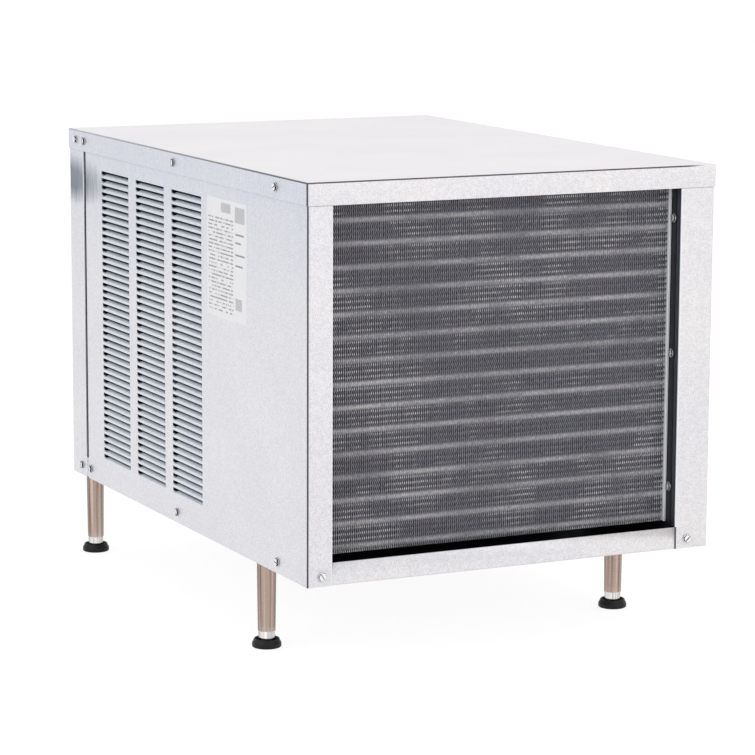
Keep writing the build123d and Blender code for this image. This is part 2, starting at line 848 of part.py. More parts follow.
# ---------------------------------------------------------------- receiver and its valve
tank = can(receiver_radius, receiver_height, receiver_round, receiver_round)
tank -= Pos(0, 0, receiver_wall) * can(
    receiver_radius - receiver_wall,
    receiver_height - 2 * receiver_wall,
    receiver_round - receiver_wall,
    receiver_round - receiver_wall,
)
tank += rod((0, 0, -receiver_skirt), Z, receiver_skirt_radius, receiver_skirt + receiver_wall / 2)
tank -= rod((0, 0, -receiver_skirt), Z, receiver_skirt_radius - receiver_wall, receiver_skirt)
boss_z = receiver_valve_height - receiver_skirt
boss_start = Vector(-receiver_radius + receiver_wall / 2, 0, boss_z)
boss_length = receiver_wall / 2 + receiver_boss_reach
inlet_boss_radius = tube_radius + stub_wall
tank += rod(boss_start, -X, tube_radius + receiver_boss_wall, boss_length)
tank += rod((0, 0, receiver_height - receiver_wall / 2), Z, inlet_boss_radius, boss_length)
tank -= rod((0, 0, receiver_height - 2 * receiver_wall), Z, tube_radius - tube_wall, 2 * boss_length)
receiver = Pos(receiver_x, receiver_y, receiver_bottom) * tank
save("receiver", receiver)


def stem(x, y, z):
    """A valve stem that turns in its bonnet, with a square end for a key."""
    body = rod((x, y, z - stem_depth), Z, stem_radius, stem_depth + stem_shoulder)
    square = Pos(x, y, z + stem_shoulder + stem_rise / 2) * Box(stem_square, stem_square, stem_rise)
    return body + square


def bonnet(x, y, z, rise):
    """The collar of a valve that its stem turns in, from z up by rise."""
    return rod((x, y, z), Z, bonnet_radius, rise)


def stem_bore(x, y, top_z):
    """The bore for a stem, down from top_z."""
    bottom = top_z - stem_depth - stem_end_room
    return rod((x, y, bottom), Z, stem_radius + running_clearance, stem_depth + 1)


boss_face = receiver_x - receiver_radius - receiver_boss_reach
receiver_valve_z = floor + receiver_valve_height
king_x = boss_face - liquid_body_radius
king = block(
    boss_face - 2 * liquid_body_radius,
    boss_face,
    receiver_y - liquid_body_radius,
    receiver_y + liquid_body_radius,
    receiver_valve_z - liquid_body_radius,
    receiver_valve_z + liquid_body_radius,
)
king_top = receiver_valve_z + liquid_body_radius + bonnet_height
king += bonnet(king_x, receiver_y, receiver_valve_z, king_top - receiver_valve_z)
king -= stem_bore(king_x, receiver_y, king_top)
save("receiver_valve", king)
save("receiver_valve_stem", stem(king_x, receiver_y, king_top))

# ---------------------------------------------------------------- service valves in the pocket
def service_valve(x, radius, tube, nose):
    """A service valve on the pocket's floor: a body, a flared nose and a tail through the wall."""
    body = rod((x, pocket_floor, valve_z), Y, radius, valve_body_length)
    body += rod((x, pocket_floor + valve_body_length, valve_z), Y, nose, valve_nose_length)
    body += rod((x, pocket_floor - sheet - tube_stub, valve_z), Y, tube, sheet + tube_stub)
    stem_y = pocket_floor + valve_body_length / 2
    stem_top = valve_z + radius + bonnet_height
    body += bonnet(x, stem_y, valve_z, stem_top - valve_z)
    body -= stem_bore(x, stem_y, stem_top)
    return body, stem(x, stem_y, stem_top)


liquid_valve, liquid_stem = service_valve(liquid_x, liquid_body_radius, tube_radius, liquid_nose_radius)
suction_valve, suction_stem = service_valve(
    suction_x, suction_body_radius, suction_tube_radius, suction_nose_radius
)
save("liquid_service_valve", liquid_valve)
save("liquid_valve_stem", liquid_stem)
save("suction_service_valve", suction_valve)
save("suction_valve_stem", suction_stem)

# ---------------------------------------------------------------- pipework
inlet_y, inlet_z = tube_place(2, last)
outlet_y, outlet_z = tube_place(0, 0)
side_run_right = tube_right + side_run_right_bends * tight_bend
side_run_left = tube_left - side_run_left_bends * tight_bend
discharge_end = compressor_x + shell_radius + stub_reach
discharge_drop = discharge_end + 2 * bend_radius
discharge_line = pipe(
    [
        (tube_right, inlet_y, inlet_z),
        (side_run_right, inlet_y, inlet_z),
        (side_run_right, compressor_y, inlet_z),
        (discharge_drop, compressor_y, inlet_z),
        (discharge_drop, compressor_y, discharge_z),
        (discharge_end, compressor_y, discharge_z),
    ],
    tube_radius,
    [tight_bend, bend_radius, bend_radius, bend_radius],
)
save("discharge_line", discharge_line)

cross_run = pocket_floor - drier_radius - drier_room
low_run = above(condensate_run_height)
drop = outlet_z - low_run
receiver_inlet = receiver_top + receiver_boss_reach
over_receiver = receiver_inlet + 2 * bend_radius
condensate_line = pipe(
    [
        (tube_left, outlet_y, outlet_z),
        (side_run_left, outlet_y, outlet_z),
        (side_run_left, outlet_y + drop, low_run),
        (side_run_left, cross_run, low_run),
        (receiver_x, cross_run, low_run),
        (receiver_x, cross_run, over_receiver),
        (receiver_x, receiver_y, over_receiver),
        (receiver_x, receiver_y, receiver_inlet),
    ],
    tube_radius,
    [tight_bend, tight_bend, bend_radius, bend_radius, bend_radius, bend_radius],
)
save("condensate_line", condensate_line)

drier_start = boss_face - 2 * liquid_body_radius
drier_end = drier_start - drier_length
drier = Pos(drier_start - drier_length / 2, receiver_y, receiver_valve_z) * (
    Rot(0, 90, 0) * Cylinder(drier_radius, drier_length - 2 * drier_round)
)
drier = fillet(drier.edges(), drier_round)
drier += rod((drier_start, receiver_y, receiver_valve_z), -X, tube_radius + drier_stub_wall, drier_length)
save("filter_drier", drier)

tail_end = pocket_floor - sheet - tube_stub
liquid_line = pipe(
    [
        (drier_end, receiver_y, receiver_valve_z),
        (liquid_x, receiver_y, receiver_valve_z),
        (liquid_x, receiver_y, valve_z),
        (liquid_x, tail_end, valve_z),
    ],
    tube_radius,
    bend_radius,
)
save("liquid_line", liquid_line)

suction_end = compressor_y + shell_radius + stub_reach
suction_turn = tail_end - 2 * bend_radius
suction_line = pipe(
    [
        (suction_x, tail_end, valve_z),
        (suction_x, suction_turn, valve_z),
        (suction_x, suction_turn, suction_z),
        (compressor_x, suction_turn, suction_z),
        (compressor_x, suction_end, suction_z),
    ],
    suction_tube_radius,
    bend_radius,
)
save("suction_line", suction_line)

# ---------------------------------------------------------------- controls
box_wide, box_deep, box_tall = box_size
electrical_box = block(box_x, box_x + box_wide, box_y, box_y + box_deep, floor, floor + box_tall)
electrical_box -= block(
    box_x - 1,
    box_x + box_wide - sheet,
    box_y + sheet,
    box_y + box_deep - sheet,
    floor + sheet,
    floor + box_tall - sheet,
)
save("electrical_box", electrical_box)
save("electrical_cover", block(box_x - sheet, box_x, box_y, box_y + box_deep, floor, floor + box_tall))

unit_deep, unit_wide, unit_tall = contactor_size
contactor_right = box_x + box_wide - sheet
contactor_left = contactor_right - unit_deep
contactor_y = box_y + box_deep / 2
contactor_low = floor + sheet
contactor_mid = contactor_low + unit_tall / 2
plunger_wide, plunger_tall = plunger_size
contactor = block(
    contactor_left,
    contactor_right,
    contactor_y - unit_wide / 2,
    contactor_y + unit_wide / 2,
    contactor_low,
    contactor_low + unit_tall,
)
socket = plunger_depth + plunger_travel + plunger_end_room
socket_half_wide = plunger_wide / 2 + plunger_clearance
socket_half_tall = plunger_tall / 2 + plunger_clearance
contactor -= block(
    contactor_left - 1,
    contactor_left + socket,
    contactor_y - socket_half_wide,
    contactor_y + socket_half_wide,
    contactor_mid - socket_half_tall,
    contactor_mid + socket_half_tall,
)
save("contactor", contactor)
plunger = block(
    contactor_left - plunger_height,
    contactor_left + plunger_depth,
    contactor_y - plunger_wide / 2,
    contactor_y + plunger_wide / 2,
    contactor_mid - plunger_tall / 2,
    contactor_mid + plunger_tall / 2,
)
save("contactor_plunger", plunger)

control_deep, control_wide, control_tall = control_size
control_x = box_x + (box_wide - control_deep) / 2
control_y = box_y + (box_deep - control_wide) / 2
control_low = floor + box_tall
control_top = control_low + control_tall
control = block(
    control_x, control_x + control_deep, control_y, control_y + control_wide, control_low, control_top
)
control = fillet(control.edges().filter_by(Axis.Z), control_round)
button_x = control_x + control_deep / 2
button_y = control_y + control_wide / 4
button_room = button_depth + button_travel + button_end_room
button_bore = button_radius + running_clearance
control -= rod((button_x, button_y, control_top - button_room), Z, button_bore, button_room + 1)
save("pressure_control", control)
button_bottom = control_top - button_depth
save("reset_button", rod((button_x, button_y, button_bottom), Z, button_radius, button_depth + button_height))
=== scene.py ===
# %% [markdown]
# # A refrigeration condensing unit, dressed in Blender
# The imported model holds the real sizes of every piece, so the first step only loads it. What
# follows keeps the pieces whose shape is already right and gives them a finish, and rebuilds the
# folded sheet metal, the fins, the screws and the feet as finer meshes in the same place.

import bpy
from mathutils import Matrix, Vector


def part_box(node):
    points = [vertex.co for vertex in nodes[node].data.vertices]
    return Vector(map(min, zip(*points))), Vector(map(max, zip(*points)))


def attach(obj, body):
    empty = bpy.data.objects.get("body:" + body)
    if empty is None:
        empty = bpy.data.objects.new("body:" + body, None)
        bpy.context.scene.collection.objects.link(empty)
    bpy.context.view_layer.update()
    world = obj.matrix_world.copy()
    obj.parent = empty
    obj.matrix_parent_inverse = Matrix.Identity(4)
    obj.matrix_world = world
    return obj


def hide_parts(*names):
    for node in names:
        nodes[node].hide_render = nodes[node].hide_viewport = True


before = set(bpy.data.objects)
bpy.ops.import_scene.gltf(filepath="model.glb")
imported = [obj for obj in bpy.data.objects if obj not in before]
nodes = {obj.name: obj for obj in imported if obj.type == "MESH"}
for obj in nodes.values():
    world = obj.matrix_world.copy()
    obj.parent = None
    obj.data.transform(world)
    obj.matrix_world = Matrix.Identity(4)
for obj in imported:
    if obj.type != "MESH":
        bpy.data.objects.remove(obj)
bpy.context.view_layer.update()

# %% Tools that the lesson uses
import math

import bmesh
import bpy
import numpy as np
from mathutils import Matrix, Vector

MM = 0.001
TURN = 2 * math.pi

# %% [markdown]
# ## Where the casing is
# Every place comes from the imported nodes' boxes. The cover gives the top and its flanges, the side
# panels give both sides, the front and the underside, and the rear panel gives the back.

# %% Casing places
cover_low, cover_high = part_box("top_cover")
wall_low, wall_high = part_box("side_panel_left")
fins_low, fins_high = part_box("condenser_fins")
plate_low, plate_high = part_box("rating_plate")

SHEET = 1.2 * MM
FOLD = 1.5 * MM
LEFT_POST = 30 * MM
RIGHT_POST = 42 * MM
REAR_WRAP = 46.5 * MM
RAIL = 25 * MM
left, right = wall_low.x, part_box("side_panel_right")[1].x
front, back = wall_low.y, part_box("rear_panel")[1].y
under, top = wall_low.z, cover_high.z
panel_top = wall_high.z
seam = back - REAR_WRAP
rail_top = under + RAIL
crack_low, crack_high = cover_low.z - 0.5 * MM, cover_low.z + 1.5 * MM
print("casing", round(right - left, 4), round(back - front, 4), round(top - under, 4), "m")

# %% [markdown]
# ## Shared effects
# Sheet metal, paint, castings and rubber all show the same few things: a fine grain, rubbed edges,
# and dust on what faces up. Each is a shader node group with named inputs, built once and used by
# many materials with other values. A group hands out colours, masks and heights only; the shader
# itself stays in each material.

# %% Helpers for shader trees
def start_group(name, inputs, height_or_mask):
    """A new shader group that takes inputs and gives a colour and heights or masks.

    The kind of an input follows from its value: a number, a vector of 3 or a colour of 4.
    """
    group = bpy.data.node_groups.new(name, "ShaderNodeTree")
    for label, value in inputs.items():
        kind = "Float" if isinstance(value, float) else "Color" if len(value) == 4 else "Vector"
        socket = group.interface.new_socket(label, in_out="INPUT", socket_type="NodeSocket" + kind)
        socket.default_value = value
    group.interface.new_socket("Color", in_out="OUTPUT", socket_type="NodeSocketColor")
    for label in height_or_mask:
        group.interface.new_socket(label, in_out="OUTPUT", socket_type="NodeSocketFloat")
    return group, group.nodes.new("NodeGroupInput").outputs, group.nodes.new("NodeGroupOutput")


def feed(tree, socket, value):
    """Links what another node gives to a socket, or sets a constant on it."""
    if isinstance(value, bpy.types.NodeSocket):
        tree.links.new(value, socket)
    else:
        socket.default_value = value


def feed_all(tree, node, **values):
    """Feeds a node's sockets by name, with _ for a space."""
    for label, value in values.items():
        feed(tree, node.inputs[label.replace("_", " ")], value)


def add(tree, kind, values=None, **settings):
    """A node with its settings, and its input sockets fed by name or number."""
    node = tree.nodes.new("ShaderNode" + kind)
    for key, value in settings.items():
        setattr(node, key, value)
    for key, value in (values or {}).items():
        feed(tree, node.inputs[key], value)
    return node


def mix_colours(tree, factor, first, second):
    """A colour mix: factor 0 gives the first colour and 1 the second."""
    return add(tree, "Mix", {0: factor, 6: first, 7: second}, data_type="RGBA").outputs[2]


def maths(tree, operation, *values, clamp=False):
    """One math node's result."""
    return add(tree, "Math", dict(enumerate(values)), operation=operation, use_clamp=clamp).outputs[0]


def times(tree, first, second, clamp=False):
    return maths(tree, "MULTIPLY", first, second, clamp=clamp)


def plus(tree, first, second):
    return maths(tree, "ADD", first, second)


def minus(tree, first, second):
    return maths(tree, "SUBTRACT", first, second)


def swing(tree, value, amount):
    """Turns a value from 0 to 1 into a swing about zero."""
    return times(tree, minus(tree, value, 0.5), amount)


def spread(tree, value, low, high, to_low, to_high):
    """Maps low..high to to_low..to_high and clamps."""
    values = {"Value": value, "From Min": low, "From Max": high, "To Min": to_low, "To Max": to_high}
    return add(tree, "MapRange", values).outputs[0]


def on_object(tree):
    """The place on the object, in metres."""
    return add(tree, "TexCoord").outputs["Object"]


def axes(tree, vector):
    """The x, y and z of a vector."""
    return add(tree, "SeparateXYZ", {0: vector}).outputs


def facing_up(tree):
    """How far the surface faces up: 1 on a level top, 0 on a wall."""
    return axes(tree, add(tree, "NewGeometry").outputs["Normal"])[2]


def scaled(tree, vector, factor):
    """A vector or colour multiplied by another, part by part."""
    return add(tree, "VectorMath", {0: vector, 1: factor}, operation="MULTIPLY").outputs[0]


def noise(tree, vector, scale, detail):
    """Soft noise from 0 to 1. A larger scale makes it finer."""
    return add(tree, "TexNoise", {"Vector": vector, "Scale": scale, "Detail": detail}).outputs[0]


print("helpers ready")

# %% [markdown]
# ### Grain
# Zinc coating, castings and moulded plastic differ in scale more than in kind: a coarse cell pattern
# with a finer noise over it. The group tints the colour it is given by both, so each material can
# pick its own scale and strength.

# %% The grain group
grain, gin, gout = start_group(
    "grain",
    {
        "Color": (0.8, 0.8, 0.8, 1),
        "Cell Scale": 300.0, "Cell Amount": 0.1,
        "Speckle Scale": 900.0, "Speckle Amount": 0.1,
    },
    ["Mask", "Height"],
)
place = on_object(grain)
cells = add(grain, "TexVoronoi", {"Vector": place, "Scale": gin["Cell Scale"]})
cell_value = add(grain, "SeparateColor", {0: cells.outputs["Color"]}).outputs[0]
speckle = spread(grain, noise(grain, place, gin["Speckle Scale"], 3.0), 0.3, 0.7, 0.0, 1.0)
cell_shift = swing(grain, cell_value, gin["Cell Amount"])
speckle_shift = swing(grain, speckle, gin["Speckle Amount"])
tint = plus(grain, plus(grain, cell_shift, speckle_shift), 1.0)
feed_all(grain, gout, Color=scaled(grain, gin["Color"], tint), Mask=cell_value, Height=speckle)
print("group", grain.name, "outputs", [s.name for s in gout.inputs if s.name])

# %% [markdown]
# ### Edge wear
# Handling rubs paint and plating off the corners first. Cycles can tell how sharply a surface turns
# at each point, and that pointiness, broken up by noise, is the mask.

# %% The edge wear group
wear, win, wout = start_group(
    "edge_wear",
    {"Color": (0.1, 0.1, 0.1, 1), "Worn Color": (0.5, 0.5, 0.5, 1), "Amount": 0.5},
    ["Mask"],
)
turning = add(wear, "NewGeometry").outputs["Pointiness"]
rubbed = spread(wear, turning, 0.52, 0.6, 0.0, 1.0)
broken = times(wear, rubbed, spread(wear, noise(wear, on_object(wear), 220.0, 4.0), 0.35, 0.65, 0.2, 1.0))
worn = times(wear, broken, win["Amount"], clamp=True)
feed_all(wear, wout, Color=mix_colours(wear, worn, win["Color"], win["Worn Color"]), Mask=worn)
print("group", wear.name)

# %% [markdown]
# ### Dust
# Dust settles on what faces up, in soft patches. The mask is the upward part of the normal times
# a slow noise.

# %% The dust group
dust, din, dout = start_group(
    "dust",
    {"Color": (0.1, 0.1, 0.1, 1), "Dust Color": (0.45, 0.43, 0.4, 1), "Amount": 0.2},
    ["Mask"],
)
lying = spread(dust, facing_up(dust), 0.2, 1.0, 0.0, 1.0)
lying = times(dust, lying, spread(dust, noise(dust, on_object(dust), 45.0, 5.0), 0.3, 0.7, 0.2, 1.0))
settled = times(dust, lying, din["Amount"], clamp=True)
feed_all(dust, dout, Color=mix_colours(dust, settled, din["Color"], din["Dust Color"]), Mask=settled)
print("group", dust.name)

# %% [markdown]
# ### Brushed streaks
# Turned and brushed metal has marks that run one way. Noise on stretched coordinates gives them:
# a large stretch along an axis draws it out into lines.

# %% The streaks group
streaks, stroke_in, stroke_out = start_group(
    "streaks",
    {"Color": (0.6, 0.6, 0.6, 1), "Stretch": (2500.0, 2500.0, 18.0), "Amount": 0.2},
    ["Height"],
)
lines = noise(streaks, scaled(streaks, on_object(streaks), stroke_in["Stretch"]), 1.0, 2.0)
line_tint = plus(streaks, swing(streaks, lines, stroke_in["Amount"]), 1.0)
feed_all(streaks, stroke_out, Color=scaled(streaks, stroke_in["Color"], line_tint), Height=lines)
print("group", streaks.name)


# %% [markdown]
# ## Materials
# Each finish starts from a Principled shader. Numbers that are the same all over stay on the
# shader's own sockets; only what changes over the surface is linked in.

# %% A helper that starts a material
def start_material(name, metallic, roughness, **sockets):
    """A node material with its Principled shader. Other constants are given by socket name."""
    material = bpy.data.materials.new(name)
    material.use_nodes = True
    tree = material.node_tree
    shader = tree.nodes["Principled BSDF"]
    feed_all(tree, shader, Metallic=metallic, Roughness=roughness, **sockets)
    return material, tree, shader


def use_group(tree, group, **values):
    """Places a shader group in a material, with its inputs fed by name, and gives its outputs."""
    node = add(tree, "Group", node_tree=group)
    feed_all(tree, node, **values)
    return node.outputs


def relief(tree, shader, height, distance, strength=0.4):
    """Feeds a height through a Bump node into the shader's normal."""
    bump = add(tree, "Bump", {"Height": height, "Distance": distance, "Strength": strength})
    tree.links.new(bump.outputs[0], shader.inputs["Normal"])


def rgb(red, green, blue):
    """A colour as a socket wants it."""
    return (red, green, blue, 1.0)


# %% [markdown]
# ### Galvanised sheet
# Hot-dipped zinc is pale and slightly blue, with fine spangle: small crystals that each tilt their
# own way. The cells change brightness and roughness a little, a fine speckle sits over them, and a
# slow noise clouds large areas, as handling and storage do. Two reflections are painted on too: a
# dark blue patch high at the rear left, and a cool tint over the upper left side.

# %% The zinc sheet
def zinc_material(name, colour, metallic, cells, speckles):
    """Galvanised sheet: clouded, spangled and speckled, with a painted dark reflection at the rear left and a
    painted cool reflection high on the left.
    """
    material, tree, shader = start_material(name, metallic, 0.42)
    where = on_object(tree)
    cool = tuple(c * f for c, f in zip(colour, (0.955, 0.965, 0.99)))
    cloud = spread(tree, noise(tree, where, 9.0, 4.0), 0.35, 0.65, 0.0, 1.0)
    base = mix_colours(tree, cloud, rgb(*colour), rgb(*cool))

    # Painted dark reflection: a ragged blue-black patch high at the rear left of the casing.
    patch = add(tree, "VectorMath", {0: where, 1: DARK_REFLECTION_MIDDLE}, operation="SUBTRACT").outputs[0]
    patch = add(tree, "VectorMath", {0: patch, 1: DARK_REFLECTION_SPREAD}, operation="DIVIDE").outputs[0]
    away = add(tree, "VectorMath", {0: patch}, operation="LENGTH").outputs["Value"]
    ragged = noise(tree, scaled(tree, where, PAINTED_REFLECTION_GRAIN), 1.0, 3.0)
    away = plus(tree, away, swing(tree, ragged, 0.7))
    base = mix_colours(tree, spread(tree, away, 0.45, 1.25, 1.0, 0.0), base, rgb(0.045, 0.06, 0.09))

    split = axes(tree, where)
    # Painted cool reflection: a blue tint over the upper part of the left side.
    on_left = spread(tree, split[0], left, left + 6 * MM, 1.0, 0.0)
    high_up = spread(tree, split[2], top - 170 * MM, top - 20 * MM, 0.0, 1.0)
    painted_cool_reflection = times(tree, times(tree, on_left, high_up), spread(tree, ragged, 0.3, 0.7, 0.25, 0.6))
    base = mix_colours(tree, painted_cool_reflection, base, rgb(0.58, 0.63, 0.72))

    pits = add(tree, "TexVoronoi", {"Vector": where, "Scale": 115.0})
    chosen = add(tree, "SeparateColor", {0: pits.outputs["Color"]}).outputs[1]
    chosen = maths(tree, "GREATER_THAN", chosen, 0.6)
    pit = times(tree, spread(tree, pits.outputs["Distance"], 0.04, 0.075, 0.6, 0.0), chosen)
    base = mix_colours(tree, pit, base, rgb(0.16, 0.15, 0.16))

    # A level top is smoother to the eye than a wall, so both patterns drop to a quarter there.
    facing = facing_up(tree)
    spangle = use_group(
        tree, grain, Color=base,
        Cell_Scale=400.0, Cell_Amount=spread(tree, facing, 0.6, 0.95, cells, cells / 4),
        Speckle_Scale=800.0, Speckle_Amount=spread(tree, facing, 0.6, 0.95, speckles, speckles / 4),
    )
    rough = spread(tree, spangle["Mask"], 0.0, 1.0, 0.36, 0.5)
    feed_all(tree, shader, Base_Color=spangle["Color"], Roughness=rough)
    relief(tree, shader, spangle["Height"], 0.00012, 0.35)
    return material


# Where the painted dark reflection sits, how far it reaches along each axis, and how ragged the painted
# reflections are.
DARK_REFLECTION_MIDDLE = (left, back - 4 * MM, top - 62 * MM)
DARK_REFLECTION_SPREAD = (0.03, 0.105, 0.026)
PAINTED_REFLECTION_GRAIN = (150.0, 420.0, 14.0)
zinc = zinc_material("galvanised_zinc", (0.81, 0.785, 0.795), 0.35, 0.13, 0.36)
# The louvre blades take a darker, bluer copy of the zinc: a painted shade.
shaded_blade_zinc = zinc_material("louvre_zinc_painted_shade", (0.60, 0.65, 0.71), 0.35, 0.16, 0.3)
# The insides of the sheets, the posts' lips, the band under the cover's edge and the sheet inside the casing
# take a near-black copy: a painted shade.
near_black_shade_zinc = zinc_material("galvanised_painted_shade", (0.075, 0.08, 0.10), 0.4, 0.12, 0.2)
plate_dark, tree, shader = start_material("shadowed_plate", 0.3, 0.5)
marks = use_group(tree, grain, Color=rgb(0.018, 0.018, 0.022), Cell_Scale=300.0, Cell_Amount=0.3)
feed_all(tree, shader, Base_Color=marks["Color"])
print("materials", [m.name for m in bpy.data.materials])

# %% [markdown]
# ### Folds and cut edges
# The folds take a painted dark reflection, fading to pale towards the right and the rear. A sheared
# edge shows bright bare steel, and its finish also paints a highlight on some bends and curled edges.
# Both are narrow strips of faces with a material of their own.

# %% The fold and the cut edge
fold, tree, shader = start_material("zinc_fold_painted_reflection", 0.75, 0.38)
where = axes(tree, on_object(tree))
# Painted dark reflection along the folds, fading to pale towards the right and the rear.
at_right = spread(tree, where[0], right - 34 * MM, right - 12 * MM, 0.0, 1.0)
at_rear = spread(tree, where[1], front + 20 * MM, back, 0.0, 0.6)
fade = maths(tree, "MAXIMUM", at_right, at_rear)
faded = mix_colours(tree, fade, rgb(0.09, 0.083, 0.088), rgb(0.74, 0.73, 0.74))
marks = use_group(tree, streaks, Color=faded, Stretch=(60.0, 60.0, 60.0), Amount=0.5)
feed_all(tree, shader, Base_Color=marks["Color"])
relief(tree, shader, marks["Height"], 0.0001)

cut_edge_and_highlight, tree, shader = start_material("sheared_edge_and_highlight", 0.2, 0.35)
marks = use_group(tree, streaks, Color=rgb(0.93, 0.93, 0.95), Stretch=(900.0, 900.0, 900.0), Amount=0.1)
feed_all(tree, shader, Base_Color=marks["Color"])
relief(tree, shader, marks["Height"], 0.00005)

# The sheet's finishes: plain zinc, the folds' painted dark reflection, the sheared edge that is also a
# painted highlight, the blades' painted shade, the seam groove's painted shadow and the near-black painted
# shade.
SHEET_FINISH = [zinc, fold, cut_edge_and_highlight, shaded_blade_zinc, plate_dark, near_black_shade_zinc]
PLAIN, FOLDED, SHEARED_AND_HIGHLIGHT, SHADED_BLADE, SHADOWED, NEAR_BLACK_SHADE = range(len(SHEET_FINISH))
print("sheet finishes", [m.name for m in SHEET_FINISH])

# %% [markdown]
# ## Building folded sheet
# A folded panel is one sheet swept along an outline seen from above. Flat stretches need few
# points and each fold needs a small arc. The outline is laid out as stations, each a point and
# whether it lies on a fold.

# %% A folded outline
def folded_outline(corners, radius, steps=5):
    """Stations along a polyline whose inner corners are rounded: (point, is on a fold)."""
    stations = [(Vector(corners[0]), False)]
    for before, corner, after in zip(corners, corners[1:], corners[2:]):
        corner = Vector(corner)
        inward = (Vector(before) - corner).normalized()
        onward = (Vector(after) - corner).normalized()
        centre = corner + (inward + onward) * radius
        for step in range(steps + 1):
            angle = step / steps * math.pi / 2
            point = centre - onward * radius * math.cos(angle) - inward * radius * math.sin(angle)
            stations.append((point, 0 < step))
    stations.append((Vector(corners[-1]), False))
    return stations


def make_object(name, points, faces, materials, face_materials=None, smooth=True):
    """A mesh object from points and faces, linked into the scene."""
    mesh = bpy.data.meshes.new(name)
    mesh.from_pydata([tuple(p) for p in points], [], faces)
    for material in materials:
        mesh.materials.append(material)
    if face_materials is not None:
        mesh.polygons.foreach_set("material_index", np.array(face_materials, dtype=np.int32))
    mesh.polygons.foreach_set("use_smooth", np.full(len(mesh.polygons), smooth))
    mesh.update()
    piece = bpy.data.objects.new(name, mesh)
    bpy.context.scene.collection.objects.link(piece)
    return piece


def weld(piece, distance=1e-6):
    """Joins points that lie together and clears away the faces that this leaves flat."""
    work = bmesh.new()
    work.from_mesh(piece.data)
    bmesh.ops.remove_doubles(work, verts=work.verts, dist=distance)
    bmesh.ops.dissolve_degenerate(work, edges=work.edges, dist=distance)
    work.to_mesh(piece.data)
    work.free()


def thicken(piece, thickness=SHEET, rim=SHEARED_AND_HIGHLIGHT):
    """Gives a surface its sheet thickness, inwards from its faces. The inside takes the last finish, which on
    the casing sheets is a near-black painted shade.
    """
    sheet = piece.modifiers.new("sheet", "SOLIDIFY")
    sheet.thickness = thickness
    sheet.offset = -1
    sheet.use_even_offset = True
    sheet.material_offset_rim = rim
    sheet.material_offset = len(piece.data.materials)
    piece.modifiers.new("flat_faces", "WEIGHTED_NORMAL").keep_sharp = True


def hand_over(piece, body, slot, *replaced):
    """Attaches a piece to the body it rides on and hides the nodes it stands for. Its slot is not used."""
    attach(piece, body)
    if replaced:
        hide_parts(*replaced)
    print(piece.name, len(piece.data.polygons), "faces")
    return piece


def hand_over_sheet(piece, name):
    """Thickens a casing sheet, keeps its folds crisp and hands it over in its node's place."""
    thicken(piece)
    piece.data.set_sharp_from_angle(angle=math.radians(50))
    return hand_over(piece, "casing", "galvanised_sheet", name)

# %% [markdown]
# ## The louvred side panels
# Each louvre is lanced along its top edge and pressed inwards, so rain would run off and air can
# pass. The whole panel is one grid: its columns follow the folded outline from the rear seam,
# round the front corner, across the front post and into its lip, and its rows follow the louvres.
# A louvre's blade is the grid pushed inwards, and it takes a painted shade; at its top the grid has
# two rows at one height, one on the blade and one on the wall, and no face between them. That gap is
# the slit. At the seam the grid steps in as a shallow dark groove, where the two panels meet, with a
# painted shadow in it.

# %% Louvre layout
LOUVRE_LENGTH = 89 * MM
LOUVRE_RISE = 5.6 * MM
LOUVRE_DEPTH = 3.7 * MM
LOUVRE_PITCH = 8.58 * MM
LOUVRE_ROWS = 42
LOUVRE_ENDS = 5.5 * MM
SLIT_DROP = 2.5 * MM
SLIT_REAR_DROP = 2.0 * MM
SLIT_FRONT_DROP = 0.7 * MM
GROOVE_DEPTH = 2.5 * MM
GROOVE_WIDTH = 8 * MM
LIP_DEPTH = 9 * MM
louvre_first = under + 37.7 * MM
louvre_columns = [front + d * MM for d in (334, 447, 560)]


def louvre_reach(distance):
    """How far in the blade is pressed, from 0 to 1, at a distance from the louvre's middle."""
    end = (abs(distance) - (LOUVRE_LENGTH / 2 - LOUVRE_ENDS)) / LOUVRE_ENDS
    return math.sqrt(max(0.0, 1 - max(0.0, end) ** 2))


def slit_drop(distance):
    """How far the blade's lanced edge drops below the wall's: more towards the louvre's ends."""
    inside = LOUVRE_LENGTH / 2 - abs(distance)
    if inside < 0:
        return 0.0
    extra = SLIT_REAR_DROP if distance > 0 else SLIT_FRONT_DROP
    return SLIT_DROP + extra * math.exp(-((inside - 2.5 * MM) / (4 * MM)) ** 2)


end_steps = [LOUVRE_ENDS * (1 - math.cos(a * math.pi / 12)) for a in range(7)]
blade_offsets = [-LOUVRE_LENGTH / 2 - 0.5 * MM] + [s - LOUVRE_LENGTH / 2 for s in end_steps]
blade_offsets += [9 * MM - LOUVRE_LENGTH / 2, 14 * MM - LOUVRE_LENGTH / 2]
blade_offsets += [-o for o in reversed(blade_offsets)]
print("louvres", LOUVRE_ROWS, "rows of", len(louvre_columns), "with", len(blade_offsets), "stations each")


